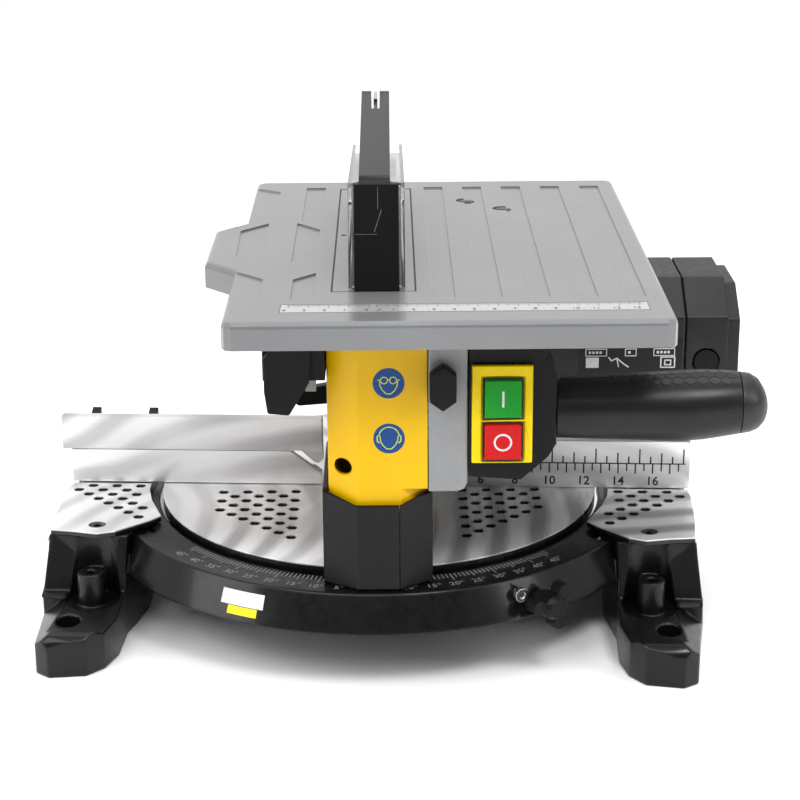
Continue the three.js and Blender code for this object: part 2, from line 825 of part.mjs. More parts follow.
function handleHousing() {
  const body = prismY(
    [
      [46.9, 57.5],
      [74, 55.5],
      [88, 68],
      [92, 75],
      [92, 112],
      [86, 122],
      [86, 137],
      [46.9, 137],
    ],
    CASING_FRONT,
    -118,
  );
  const well = box(54, 74.5, CASING_FRONT - 1, -126, 67.4, 112.4);
  return cut(body, well);
}
function switchPlate() {
  const z = SWITCH;
  const plate = box(z.x0, z.x1, -153.4, CASING_FRONT - GAP, z.z0, z.z1);
  const around = (grow, back, [z0, z1]) =>
    box(BUTTON_X[0] - grow, BUTTON_X[1] + grow, -156, back, z0 - grow, z1 + grow);
  const spans = [START_Z, STOP_Z_SPAN];
  const holes = spans.map((span) => around(0.4, -148, span));
  const recesses = spans.map((span) => around(1.6, -152, span));
  return cut(plate, ...holes, ...recesses);
}
const button = ([z0, z1]) =>
  join(
    box(BUTTON_X[0], BUTTON_X[1], -155, -142, z0, z1),
    box(BUTTON_X[0] + 5, BUTTON_X[1] - 5, -142.5, -136, z0 + 5, z1 - 5),
  );
// A body turned about the grip's axis, which rises towards the cap and drops again at its tip.
function gripBody(profile) {
  const geometry = turned(profile, 28).rotateY(Math.PI / 2);
  const points = geometry.getAttribute("position");
  for (let i = 0; i < points.count; i++) {
    const x = points.getX(i);
    const rise = THREE.MathUtils.smoothstep(x, 150, 190) - THREE.MathUtils.smoothstep(x, 194, 202);
    points.setZ(i, points.getZ(i) + 1.7 * rise);
  }
  return solid(geometry.translate(0, GRIP.y, GRIP.z));
}
function grip() {
  return gripBody([
    [0, 92.4],
    [15.9, 92.4],
    [16.3, 105],
    [17, 124],
    [18, 145],
    [18.4, 158],
    [18.2, 168],
    [17.2, 179],
    [16.3, 186.6],
    [0, 186.6],
  ]);
}
function gripCap() {
  return gripBody([
    [0, 187],
    [16.2, 187],
    [15.4, 192.3],
    [13.2, 196.6],
    [9, 199.8],
    [5, 201.3],
    [0, 201.3],
  ]);
}
place(saw, "handle_housing", handleHousing(), BLACK_PLASTIC());
place(saw, "switch_plate", switchPlate(), YELLOW());
place(saw, "start_button", button(START_Z), paint(0x1f9a3c, 0.4, 0));
place(saw, "stop_button", button(STOP_Z_SPAN), paint(0xd8302a, 0.4, 0));
place(saw, "grip", grip(), BLACK_PLASTIC());
place(saw, "grip_cap", gripCap(), BLACK_PLASTIC());

// Long hexagonal knob on the front plate, with the tongue that it turns.
const LATCH = { x: 33.7, z: 108.5 };
function latchKnob() {
  const hex = prismY(
    [
      [LATCH.x, LATCH.z - 12],
      [LATCH.x + 6.8, LATCH.z - 7],
      [LATCH.x + 6.8, LATCH.z + 7],
      [LATCH.x, LATCH.z + 12],
      [LATCH.x - 6.8, LATCH.z + 7],
      [LATCH.x - 6.8, LATCH.z - 7],
    ],
    -160,
    -152.5,
  );
  return join(hex, rod("y", LATCH.x, LATCH.z, 3, -153, CASING_FRONT - GAP, 16));
}
place(saw, "latch_knob", latchKnob(), BLACK_PLASTIC());

// ---------------------------------------------------------------- motor
const motorOutline = (k = 1) =>
  [
    [-45, 59],
    [-45, 111],
    [-22, 128],
    [22, 128],
    [45, 111],
    [45, 59],
    [22, 42],
    [-22, 42],
  ]
    .map(([y, z]) => [y * k, MOTOR.z + (z - MOTOR.z) * k])
    .reverse();
const MOTOR_X = [62, 172];

function motorHousing() {
  return cut(prismX(motorOutline(), ...MOTOR_X), rod("x", MOTOR.y, MOTOR.z, 37.5, 60, 180, 28));
}
function motorEndCap() {
  const skirt = prismX(motorOutline(), MOTOR_X[1] + GAP, 196);
  const face = prismX(motorOutline(0.9), 195, 203);
  const hollow = rod("x", MOTOR.y, MOTOR.z, 35, 170, 197, 28);
  const vents = [-20, -10, 0, 10, 20]
    .map((dz) => MOTOR.z + dz)
    .map((z) => box(195, 205, -22, 22, z - 2, z + 2));
  return cut(join(skirt, face), hollow, ...vents);
}
const BRUSH_X = 184;
function brushCap(side) {
  const y = MOTOR.y + side * 45;
  const [from, to] = side > 0 ? [y - 5, y + 0.8] : [y - 0.8, y + 5];
  return rod("y", BRUSH_X, MOTOR.z, 7, from, to, 20);
}
const brushBore = (side) => {
  const y = MOTOR.y + side * 45;
  return rod("y", BRUSH_X, MOTOR.z, 7.4, y - 5.4, y + 5.4, 20);
};
function stator() {
  return cut(rod("x", MOTOR.y, MOTOR.z, 37.1, 84, 136, 28), rod("x", MOTOR.y, MOTOR.z, 26, 80, 140, 24));
}
place(saw, "motor_housing", motorHousing(), BLACK_PLASTIC());
place(saw, "motor_end_cap", cut(motorEndCap(), brushBore(1), brushBore(-1)), BLACK_PLASTIC());
place(saw, "brush_cap_rear", brushCap(1), BLACK_PLASTIC());
place(saw, "brush_cap_front", brushCap(-1), BLACK_PLASTIC());
place(saw, "stator", stator(), STEEL());

// ---------------------------------------------------------------- gear train and arbor
const PINION_TEETH = 9;
const GEAR_TEETH = 31;
const MODULE = 1.6;
const GEAR_X = [41, 52];

// Straight-sided teeth, narrowed so that the pair turns with backlash.
function gearOutline(cy, cz, teeth, phase) {
  const pitch = (teeth * MODULE) / 2;
  const tip = pitch + 1.3;
  const root = pitch - 1.7;
  const points = [];
  for (let i = 0; i < teeth; i += 1) {
    const mid = phase + (i * 2 * Math.PI) / teeth;
    const wide = 0.8 / root;
    const slim = 0.4 / tip;
    for (const [r, t] of [[root, -wide * 1.5], [tip, -slim], [tip, slim], [root, wide * 1.5]])
      points.push([cy + r * Math.cos(mid + t), cz + r * Math.sin(mid + t)]);
  }
  return points;
}
function armature() {
  const shaft = rod("x", MOTOR.y, MOTOR.z, 4.5, 40, 192, 20);
  const core = rod("x", MOTOR.y, MOTOR.z, 25, 86, 134, 24);
  const commutator = rod("x", MOTOR.y, MOTOR.z, 14, 148, 166, 16);
  const fan = rod("x", MOTOR.y, MOTOR.z, 30, 70, 76, 24);
  const phase = Math.PI + Math.PI / PINION_TEETH; // its gap faces the gear's first tooth
  const pinion = prismX(gearOutline(MOTOR.y, MOTOR.z, PINION_TEETH, phase), ...GEAR_X);
  return join(shaft, core, commutator, fan, pinion);
}
function spindleGear() {
  const rim = prismX(gearOutline(SPINDLE.y, SPINDLE.z, GEAR_TEETH, 0), ...GEAR_X);
  return cut(rim, rod("x", SPINDLE.y, SPINDLE.z, 8.3, 30, 60));
}
function spindle() {
  const shaft = rod("x", SPINDLE.y, SPINDLE.z, 8, -6.8, 56);
  return cut(shaft, rod("x", SPINDLE.y, SPINDLE.z, 4.4, -8, 24, 20));
}
function flange(x0, x1, register) {
  const disc = rod("x", SPINDLE.y, SPINDLE.z, 22, x0, x1, 24);
  const nose = register ? rod("x", SPINDLE.y, SPINDLE.z, 14.6, -0.7, 2, 24) : disc;
  return cut(join(disc, nose), rod("x", SPINDLE.y, SPINDLE.z, 8.3, -20, 20));
}
function arborBolt() {
  const head = prismX(circle(SPINDLE.y, SPINDLE.z, 10.5, 6), -15, -7.1);
  return join(head, rod("x", SPINDLE.y, SPINDLE.z, 4, -8, 22, 20));
}
function blade() {
  const teeth = 36;
  const outline = [];
  for (let i = 0; i < teeth; i += 1) {
    const at = (i * 2 * Math.PI) / teeth;
    const step = (2 * Math.PI) / teeth;
    for (const [r, t] of [[BLADE_R, 0], [BLADE_R - 8, 0.06], [BLADE_R - 7, 0.3], [BLADE_R - 2.2, 0.6]])
      outline.push([SPINDLE.y + r * Math.cos(at + t * step), SPINDLE.z + r * Math.sin(at + t * step)]);
  }
  return cut(prismX(outline, -1, 1), rod("x", SPINDLE.y, SPINDLE.z, 15, -5, 5, 24));
}
place(saw, "armature", armature(), COPPER());
place(saw, "spindle_gear", spindleGear(), STEEL());
place(saw, "spindle", spindle(), STEEL());
place(saw, "flange_inner", flange(1.3, 8, true), STEEL());
place(saw, "flange_outer", flange(-6.8, -1.3, false), STEEL());
place(saw, "arbor_bolt", arborBolt(), DARK_STEEL());
place(saw, "blade", blade(), STEEL());

function cableGland() {
  const profile = [
    [0, 45.4],
    [8, 45.4],
    [8, 51],
    [5.5, 53],
    [5.5, 64],
    [3.6, 64],
    [3.6, 50],
    [0, 50],
  ];
  return solid(turned(profile, 14).rotateX(-Math.PI / 2).translate(96, 0, 74));
}
place(saw, "cable_gland", cableGland(), BLACK_PLASTIC());

// ---------------------------------------------------------------- riving knife and hood
function rivingKnife() {
  const plate = prismX(
    [
      [78.5, 76],
      [95, 78],
      [101, 100],
      [97, 136],
      [82, 160],
      [66, 182],
      [64, 219],
      [42, 219],
      [42, 182],
      [54, 158],
      [70, 128],
      [77, 104],
    ],
    -1.1,
    1.1,
  );
  return cut(plate, box(-3, 3, HOOD_PIN.y - 3.4, HOOD_PIN.y + 3.4, HOOD_PIN.z - 3.4, 211));
}
function hoodPin() {
  return join(
    rod("x", HOOD_PIN.y, HOOD_PIN.z, 3, -11.6, 11.6, 20),
    rod("x", HOOD_PIN.y, HOOD_PIN.z, 6, 8.6, 11.8, 20),
    rod("x", HOOD_PIN.y, HOOD_PIN.z, 6, -11.8, -8.6, 20),
  );
}
const HOOD_X = 0.8; // the hood sits slightly right of the blade's plane
const HOOD_BOTTOM = TABLE_TOP + 0.4;

function hoodShell() {
  const outline = (inset, bottom) => [
    [-128 + inset, bottom],
    [HOOD_PIN.y, bottom],
    [62, bottom + 5],
    [62, 188 - inset],
    [-111 + inset * 0.6, 203.5 - inset],
  ];
  const outer = prismX(outline(0, HOOD_BOTTOM), HOOD_X - 14.5, HOOD_X + 14.5);
  const inner = prismX(outline(1.8, HOOD_BOTTOM - 8), HOOD_X - 12.7, HOOD_X + 12.7);
  const rear = box(HOOD_X - 12.7, HOOD_X + 12.7, 18, 70, 140, 220);
  return cut(outer, inner, rear);
}
function hoodSpine() {
  const front = prismX(
    [
      [-133, HOOD_BOTTOM],
      [-128.6, HOOD_BOTTOM],
      [-111.6, 204],
      [-117, 204],
    ],
    HOOD_X - 11.5,
    HOOD_X + 11.5,
  );
  const beam = prismX(
    [
      [-117, 203.8],
      [-111, 203.9],
      [-90, 206],
      [40, 214],
      [47, 222],
      [-111, 207.5],
    ],
    -8,
    8,
  );
  const rearEnd = prismX(
    [
      [40, 214],
      [38, 212],
      [38, 168],
      [44, 166],
      [62, 166],
      [62, 206],
      [50, 222],
      [44, 222],
    ],
    -8,
    8,
  );
  const notch = box(-2.4, 2.4, 12, 80, 150, 240);
  const pinHole = rod("x", HOOD_PIN.y, HOOD_PIN.z, 3.3, -20, 20, 20);
  return cut(join(front, beam, rearEnd), notch, pinHole);
}
place(saw, "riving_knife", rivingKnife(), STEEL());
place(saw, "hood_pin", hoodPin(), DARK_STEEL());
place(saw, "hood_shell", hoodShell(), paint(0x6d7072, 0.2, 0));
place(saw, "hood_spine", hoodSpine(), BLACK_PLASTIC());

// ---------------------------------------------------------------- upper table
const INSERT = { x0: -22.6, x1: 20.8, y0: -132.6, y1: 101 };
const RULER = { x0: -47, x1: 135.4, y0: -170, y1: -155 };
const GROOVE_X = [28.7, 52.5, 76.5, 100.6, 124.8];
const TABLE_SCREWS = [
  [53, 68],
  [74, 47],
];
const BULGE = [
  [-60, 18],
  [-75.3, 18],
  [-91.5, -2.6],
  [-91.8, -72],
  [-73.5, -92.5],
  [-60, -92.5],
];
const TABLE_EDGE = 3; // rounding of its top edge
const RECESS = 0.9; // depth of the grooves and of the recesses left of the blade
const RECESSES = [
  [
    [-80, 109],
    [-80, 2],
    [-58.8, 22],
    [-59, 94.5],
  ],
  [
    [-77, -3],
    [-76, -60],
    [-60, -68],
    [-62, 13.8],
  ],
  [
    [-80, -84.5],
    [-80, -147],
    [-57.6, -147],
    [-58.6, -107],
  ],
  [
    [-43.3, 105],
    [-43.3, 20],
    [-31.5, 6],
    [-31.5, 105],
  ],
  [
    [-45.5, 14.5],
    [-45.3, -72],
    [-31.8, -84],
    [-32, -1.5],
  ],
  [
    [-42.8, -108.2],
    [-42.8, -147],
    [-30.2, -147],
    [-31.3, -95.7],
  ],
];
const rounded = (x0, x1, y0, y1, r) => [
  [x0 + r, y0],
  [x1 - r, y0],
  [x1 - r * 0.3, y0 + r * 0.3],
  [x1, y0 + r],
  [x1, y1 - r],
  [x1 - r * 0.3, y1 - r * 0.3],
  [x1 - r, y1],
  [x0 + r, y1],
  [x0 + r * 0.3, y1 - r * 0.3],
  [x0, y1 - r],
  [x0, y0 + r],
  [x0 + r * 0.3, y0 + r * 0.3],
];
const BULGE_INSIDE = [
  [-68, 12],
  [-73.4, 12],
  [-87.6, -4.5],
  [-87.8, -70.5],
  [-72.5, -87.6],
  [-68, -87.6],
];
function upperTable() {
  const outer = join(
    slab(rounded(...TABLE_X, ...TABLE_Y, 5), SKIRT_Z, TABLE_TOP, TABLE_EDGE),
    slab(BULGE, SKIRT_Z, TABLE_TOP, TABLE_EDGE),
  );
  const under = join(
    prismZ(rounded(TABLE_X[0] + 4, TABLE_X[1] - 4, TABLE_Y[0] + 4, TABLE_Y[1] - 4, 4), SKIRT_Z - 1, 146),
    prismZ(BULGE_INSIDE, SKIRT_Z - 1, 146),
  );
  const lug = box(-50, -32, -112, -107, 92, 147);
  const lugSlot = box(-44.4, -37.6, -114, -105, 90, LOCK_SHAFT.z + 3.4);
  const opening = box(INSERT.x0 + 3.4, INSERT.x1 - 3.4, INSERT.y0 + 3.4, INSERT.y1 - 3.4, 140, 160);
  const seat = box(INSERT.x0, INSERT.x1, INSERT.y0, INSERT.y1, TABLE_TOP - 2.6, 160);
  const grooves = GROOVE_X.map((x) => box(x, x + 11.6, -145, 105, TABLE_TOP - RECESS, 160));
  const recesses = RECESSES.map((outline) => prismZ(outline, TABLE_TOP - RECESS, 160));
  const rulerSeat = box(RULER.x0, RULER.x1, RULER.y0, RULER.y1, TABLE_TOP - 1, 160);
  const underFence = UPPER_FENCE_H * Math.SQRT2 + 0.7; // the upper fence's top edge at full bevel
  const fenceRoom = prismY(
    [
      [-96, 130],
      [underFence - 130, 130],
      [-91.9, underFence + 91.9],
      [-96, underFence + 91.9],
    ],
    -20,
    22,
  );
  const countersinks = TABLE_SCREWS.flatMap(([x, y]) => [
    rod("z", x, y, 5.6, TABLE_TOP - 3.2, 160, 20),
    rod("z", x, y, 2.8, 140, 160, 16),
  ]);
  const shell = join(cut(outer, under), lug);
  return cut(shell, lugSlot, opening, seat, rulerSeat, fenceRoom, ...grooves, ...recesses, ...countersinks);
}
function tableInsert() {
  const { x0, x1, y0, y1 } = INSERT;
  const plate = box(x0 + GAP, x1 - GAP, y0 + GAP, y1 - GAP, TABLE_TOP - 2.3, TABLE_TOP - 0.1);
  const levellingHole = rod("z", -18.2, -14.7, 1.6, TABLE_TOP - 1.6, 160, 16);
  return cut(plate, box(-3, 3, -119, 92, 140, 160), levellingHole);
}
function tableScrew([x, y]) {
  const dome = [
    [0, -2.9],
    [5.3, -2.9],
    [5.3, -1.4],
    [4.2, -0.7],
    [2.4, -0.2],
    [0, 0],
  ];
  const head = solid(turned(dome, 28).translate(x, y, TABLE_TOP));
  return join(head, rod("z", x, y, 2.5, 134.6, TABLE_TOP - 2.8, 16));
}
function rulerStrip() {
  const r = RULER;
  return box(r.x0 + GAP, r.x1 - GAP, r.y0 + GAP, r.y1 - GAP, TABLE_TOP - 0.7, TABLE_TOP);
}
function rearColumn() {
  const c = REAR_COLUMN;
  const plate = box(c.x - 17, c.x + 17, c.y - 17, c.y + 17, 135.6, 145.7);
  const screwHoles = TABLE_SCREWS.map(([x, y]) => rod("z", x, y, 2.8, 130, 150, 16));
  return cut(join(plate, rod("z", c.x, c.y, c.r, 66, 137)), ...screwHoles);
}
function frontColumn() {
  const c = FRONT_COLUMN;
  return join(rod("z", c.x, c.y, c.r, 66, 145.7), rod("z", c.x, c.y, 9, 137.6, 145.7, 20));
}
place(saw, "upper_table", upperTable(), CAST_GREY());
place(saw, "table_insert", tableInsert(), CAST_GREY());
place(saw, "table_screw_left", tableScrew(TABLE_SCREWS[0]), DARK_STEEL());
place(saw, "table_screw_right", tableScrew(TABLE_SCREWS[1]), DARK_STEEL());
place(saw, "ruler_strip", rulerStrip(), MACHINED());
place(saw, "rear_column", rearColumn(), STEEL());
place(saw, "front_column", frontColumn(), STEEL());

// ---------------------------------------------------------------- table lock
function lockBlock() {
  const block = box(-58, -26, -143, -113, 108, 137);
  return cut(block, rod("y", LOCK_SHAFT.x, LOCK_SHAFT.z, 3.4, -150, -110, 20));
}
function lockLever() {
  const shaft = rod("y", LOCK_SHAFT.x, LOCK_SHAFT.z, 3, -146, -102, 20);
  const nut = prismY(circle(LOCK_SHAFT.x, LOCK_SHAFT.z, 6, 6), -106.6, -102);
  const arm = prismY(
    [
      [-49, 131],
      [-57, 122],
      [-57, 104],
      [-55.5, 92.5],
      [-44.5, 91.5],
      [-34, 109],
      [-33, 126],
      [-37, 131],
    ],
    -149.5,
    -143.5,
  );
  return join(shaft, nut, arm);
}
place(saw, "table_lock_block", lockBlock(), BLACK_PLASTIC());
place(saw, "table_lock_lever", lockLever(), BLACK_PLASTIC());

// ---------------------------------------------------------------- origin at the bottom centre
machine.updateMatrixWorld(true);
const bounds = new THREE.Box3().setFromObject(machine, true);
machine.position.set(-(bounds.min.x + bounds.max.x) / 2, -(bounds.min.y + bounds.max.y) / 2, -bounds.min.z);
machine.updateMatrixWorld(true);

export default machine;
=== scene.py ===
"""Looks of the combination mitre and table saw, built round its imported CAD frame.

Lengths in the named constants are millimetres unless the name says otherwise. Two local frames are used:
BASE stands on the turntable's top under the motor's axis, and SAW is BASE turned by the mitre angle.
"""

import json
import math

import bmesh
import bpy
from mathutils import Matrix, Vector
from mathutils.bvhtree import BVHTree


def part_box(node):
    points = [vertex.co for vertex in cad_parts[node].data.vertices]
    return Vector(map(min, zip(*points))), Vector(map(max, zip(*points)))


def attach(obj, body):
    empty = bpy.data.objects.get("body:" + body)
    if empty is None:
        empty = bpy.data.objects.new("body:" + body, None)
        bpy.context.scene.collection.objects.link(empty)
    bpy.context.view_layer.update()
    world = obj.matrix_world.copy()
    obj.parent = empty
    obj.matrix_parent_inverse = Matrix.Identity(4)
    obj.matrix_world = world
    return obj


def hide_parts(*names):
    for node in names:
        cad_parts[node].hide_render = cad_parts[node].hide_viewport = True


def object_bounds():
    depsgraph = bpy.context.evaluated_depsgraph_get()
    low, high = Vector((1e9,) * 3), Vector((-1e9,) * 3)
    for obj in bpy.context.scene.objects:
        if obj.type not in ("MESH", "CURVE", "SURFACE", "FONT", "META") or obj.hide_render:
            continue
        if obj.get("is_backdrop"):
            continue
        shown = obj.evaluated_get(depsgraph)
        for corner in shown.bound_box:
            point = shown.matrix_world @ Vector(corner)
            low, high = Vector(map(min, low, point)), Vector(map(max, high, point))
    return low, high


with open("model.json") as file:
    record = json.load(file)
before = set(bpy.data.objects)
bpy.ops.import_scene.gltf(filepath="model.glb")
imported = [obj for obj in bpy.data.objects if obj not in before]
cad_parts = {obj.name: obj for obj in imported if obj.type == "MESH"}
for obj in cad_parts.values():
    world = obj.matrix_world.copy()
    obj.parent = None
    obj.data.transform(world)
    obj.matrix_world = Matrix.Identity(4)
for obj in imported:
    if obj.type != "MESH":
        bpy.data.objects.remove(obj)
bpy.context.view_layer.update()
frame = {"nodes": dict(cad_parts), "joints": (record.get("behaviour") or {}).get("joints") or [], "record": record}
MM = 0.001
NODES = frame["nodes"]
SLOT_OF = {part["node"]: part["material_slot"] for part in frame["record"]["subparts"]}
BODIES = frame["record"]["behaviour"]["bodies"]
BODY_OF = {node: body for body, members in BODIES.items() for node in members}
JOINTS = {joint["name"]: joint for joint in frame["joints"]}

# The object
PIVOT_BACK = 6.3  # how far the mitre pivot lies in front of the motor's axis
HOOD_WALL_RISE = 51.6
HOOD_WALL_BACK = 16.0
HOOD_LEAN = HOOD_WALL_BACK / HOOD_WALL_RISE  # how far the hood's front wall leans back for each unit up
HOOD_WALL_THICK = 4.5
BAND_DROP = -4.3  # height of the base's black band below the turntable's top
WALL_TOP_R = 151.5  # radius of the base's front wall where it meets the band
WALL_FLARE = 0.45  # how much the front wall's radius grows for each unit down

# Marks
PRINT = 0.06  # how far printed marks stand off a surface
LABEL_THICK = 0.12
LABEL_FACE = LABEL_THICK + PRINT
PLATE_THICK = 0.1
PLATE_FACE = PLATE_THICK + PRINT
CM = 10.0
INCH = 25.4

# ---------------------------------------------------------------- frames


def base_frame():
    """BASE in the row frame: half way between the wing plates, level with their tops."""
    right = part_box("wing_plate_right")
    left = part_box("wing_plate_left")
    pivot = JOINTS["mitre_swivel"]["pos_m"]
    return Matrix.Translation(((left[0].x + right[1].x) / 2, pivot[1] + PIVOT_BACK * MM, right[1].z))


def saw_frame(base):
    """SAW in the row frame: BASE turned about the mitre pivot until the head's hinge lies along its X."""
    pivot = Vector(JOINTS["mitre_swivel"]["pos_m"])
    axis = JOINTS["head_chop"]["axis"]
    turn = Matrix.Rotation(math.atan2(-axis[1], -axis[0]), 4, "Z")
    to_pivot = Matrix.Translation(pivot)
    return to_pivot @ turn @ to_pivot.inverted() @ base


BASE = base_frame()
SAW = saw_frame(BASE)


def local_box(node, local):
    """The lowest and highest corners of a CAD node in a local frame, in millimetres."""
    to_local = local.inverted()
    points = [to_local @ vertex.co for vertex in NODES[node].data.vertices]
    low = Vector([min(point[i] for point in points) for i in range(3)]) / MM
    high = Vector([max(point[i] for point in points) for i in range(3)]) / MM
    return low, high


# ---------------------------------------------------------------- materials

NOISE_ROUGHNESS = 0.6
NOISE_LOW = 0.3  # most of a noise's values lie between these two
NOISE_HIGH = 0.7
ON_FLATS = 0.995  # how far a rounded normal agrees with the true one, on flats and on sharp edges
ON_EDGES = 0.88


class Surface:
    """A Principled material with a few helpers for its pattern nodes."""

    def __init__(self, name, **constants):
        self.material = bpy.data.materials.new(name)
        self.material.use_nodes = True
        self.tree = self.material.node_tree
        self.shader = self.tree.nodes["Principled BSDF"]
        for socket, value in constants.items():
            self.shader.inputs[socket.replace("_", " ")].default_value = value
        self.place = self.add("ShaderNodeTexCoord").outputs["Object"]

    def add(self, kind, **settings):
        """A new node, with its settings."""
        node = self.tree.nodes.new(kind)
        for key, value in settings.items():
            setattr(node, key, value)
        return node

    def join(self, output, target):
        self.tree.links.new(output, target)

    def put(self, node, values):
        """Sets or links the inputs of a node, by name or number."""
        for key, value in values.items():
            if isinstance(value, bpy.types.NodeSocket):
                self.join(value, node.inputs[key])
            else:
                node.inputs[key].default_value = value
        return node

    def stretched(self, scale, turn=(0, 0, 0), shift=(0, 0, 0)):
        """The object's coordinates in millimetres, turned and scaled."""
        mapping = self.add("ShaderNodeMapping")
        self.put(mapping, {"Vector": self.place, "Scale": scale, "Rotation": turn, "Location": shift})
        return mapping.outputs["Vector"]

    def noise(self, scale, detail=4, vector=None):
        """Noise whose features are about one metre divided by scale across."""
        node = self.add("ShaderNodeTexNoise")
        values = {"Vector": vector or self.place, "Scale": scale, "Detail": detail}
        self.put(node, values | {"Roughness": NOISE_ROUGHNESS})
        return node.outputs["Fac"]

    def cells(self, scale):
        """How far away the middle of the nearest cell is, for cells sized as noise is."""
        node = self.add("ShaderNodeTexVoronoi", feature="F1")
        self.put(node, {"Vector": self.place, "Scale": scale})
        return node.outputs["Distance"]

    def rings(self, scale, direction, distortion, vector, detail_scale=1.0):
        """Wavy rings round one axis."""
        node = self.add("ShaderNodeTexWave", wave_type="RINGS", rings_direction=direction)
        values = {"Vector": vector, "Scale": scale, "Distortion": distortion}
        self.put(node, values | {"Detail": 2.0, "Detail Scale": detail_scale})
        return node.outputs["Fac"]

    def span(self, value, low, high, to_low=0.0, to_high=1.0):
        """The value carried from one range to another, and held at its ends."""
        node = self.add("ShaderNodeMapRange")
        ranges = {"From Min": low, "From Max": high, "To Min": to_low, "To Max": to_high}
        self.put(node, {"Value": value} | ranges)
        return node.outputs["Result"]

    def vary(self, noise, to_low=0.0, to_high=1.0):
        """A noise, whose values lie mostly in the middle, spread over a whole range."""
        return self.span(noise, NOISE_LOW, NOISE_HIGH, to_low, to_high)

    def maths(self, operation, a, b):
        """The result of a sum, difference or product."""
        node = self.add("ShaderNodeMath", operation=operation)
        self.put(node, {0: a, 1: b})
        return node.outputs["Value"]

    def mix(self, factor, a, b):
        """Colour a where factor is 0, and colour b where it is 1."""
        node = self.add("ShaderNodeMix", data_type="RGBA")
        self.put(node, {0: factor, 6: a, 7: b})
        return node.outputs[2]

    def edges(self, radius):
        """About 1 along edges and 0 on flats, radius in millimetres."""
        bevel = self.add("ShaderNodeBevel", samples=4)
        bevel.inputs["Radius"].default_value = radius * MM
        normal = self.add("ShaderNodeNewGeometry").outputs["Normal"]
        dot = self.add("ShaderNodeVectorMath", operation="DOT_PRODUCT")
        self.put(dot, {0: bevel.outputs["Normal"], 1: normal})
        return self.span(dot.outputs["Value"], ON_FLATS, ON_EDGES)

    def rounded(self, radius):
        """A normal that rounds every edge over, radius in millimetres."""
        bevel = self.add("ShaderNodeBevel", samples=6)
        bevel.inputs["Radius"].default_value = radius * MM
        return bevel.outputs["Normal"]

    def along(self, axis):
        """One of the object's own coordinates, in metres."""
        split = self.add("ShaderNodeSeparateXYZ")
        self.put(split, {"Vector": self.place})
        return split.outputs[axis]

    def bump(self, height, depth, strength, below=None):
        """Bumps of height times depth millimetres, on top of any bumps below."""
        node = self.add("ShaderNodeBump")
        self.put(node, {"Height": height, "Distance": depth * MM, "Strength": strength})
        if below is not None:
            self.join(below, node.inputs["Normal"])
        return node.outputs["Normal"]

    def set(self, **sockets):
        """Links the shader's inputs and gives the finished material."""
        for socket, value in sockets.items():
            self.join(value, self.shader.inputs[socket.replace("_", " ")])
        return self.material


def rgb(red, green, blue):
    """A screen colour, 0 to 255, as linear light with full alpha."""
    linear = [((c / 255 + 0.055) / 1.055) ** 2.4 if c > 10 else c / 255 / 12.92 for c in (red, green, blue)]
    return (*linear, 1.0)


def black_cast():
    """Satin black powder coat on cast aluminium: orange peel, slightly rubbed edges."""
    s = Surface("black_cast_coat", Specular_IOR_Level=0.2, Coat_Weight=0.22, Coat_Roughness=0.12)
    worn = s.maths("MULTIPLY", s.edges(0.9), s.span(s.noise(140), 0.45, 0.65))
    body = s.mix(s.noise(60), rgb(8, 8, 9), rgb(13, 13, 14))
    colour = s.mix(s.maths("MULTIPLY", worn, 0.3), body, rgb(70, 70, 72))
    peel = s.bump(s.noise(900, detail=2), 0.03, 0.6, s.rounded(2.0))
    skin = s.bump(s.noise(45, detail=1), 0.12, 0.35, peel)
    return s.set(Base_Color=colour, Roughness=s.vary(s.noise(220), 0.26, 0.38), Normal=skin)


POCKET_START = 0.3  # the black of the pockets comes in between these depths
POCKET_FULL = 0.9


def milled(name, turn, direction, centre, bright=0.93, rough=(0.3, 0.42), top=None):
    """Fly-cut aluminium: broad curved swirls of tone, whose light and dark bands in the colour are painted
    reflection, and fine arcs of cutter marks.

    Everything that lies deeper than the pockets' start below top is black.
    """
    s = Surface(name, Anisotropic=0.3)
    away = s.stretched((1, 1, 1), turn, centre)
    swirl_and_painted_reflection = s.rings(15.0, direction, 5.0, away, detail_scale=0.5)
    cuts = s.rings(420.0, direction, 1.5, away)
    # Painted reflection: the swirl's light and dark bands go into the base colour, standing in for the bright and
    # dark reflections of the fly-cut face; in the bumps below they are the cutter's real swirl.
    tone = s.maths("MULTIPLY", s.span(swirl_and_painted_reflection, 0.2, 0.9), s.span(s.noise(9, detail=1), 0.35, 0.6, 0.25, 1.0))
    dark = (bright * 0.5, bright * 0.5, bright * 0.51, 1.0)
    light = (bright, bright, bright * 1.01, 1.0)
    face = s.mix(tone, light, dark)
    metal = s.span(tone, 0.0, 1.0, 0.62, 0.72)
    rough_face = s.span(tone, 0.0, 1.0, *rough)
    if top is not None:
        sunk = s.span(s.along("Z"), top - POCKET_START * MM, top - POCKET_FULL * MM)
        face = s.mix(sunk, face, rgb(12, 12, 13))
        metal = s.maths("MULTIPLY", metal, s.maths("SUBTRACT", 1.0, sunk))
    marks = s.bump(cuts, 0.012, 0.5, s.rounded(0.3))
    swell = s.bump(swirl_and_painted_reflection, 0.3, 0.2, marks)
    return s.set(Base_Color=face, Metallic=metal, Roughness=rough_face, Normal=swell)


def table_coat():
    """The table's smooth grey coat: fine texture under a thin gloss."""
    s = Surface("table_grey_coat", Metallic=0.15, Coat_Weight=0.7, Coat_Roughness=0.14, Coat_IOR=1.5)
    grain = s.noise(1500, detail=2)
    clouds = s.noise(14, detail=3)
    body = s.mix(s.vary(clouds), rgb(102, 103, 105), rgb(111, 112, 113))
    colour = s.mix(s.maths("MULTIPLY", s.edges(0.7), 0.3), body, rgb(158, 159, 160))
    return s.set(
        Base_Color=s.mix(s.vary(grain, 0.0, 0.25), colour, rgb(97, 98, 100)),
        Roughness=s.vary(grain, 0.34, 0.5),
        Normal=s.bump(grain, 0.012, 0.5, s.rounded(0.5)),
    )


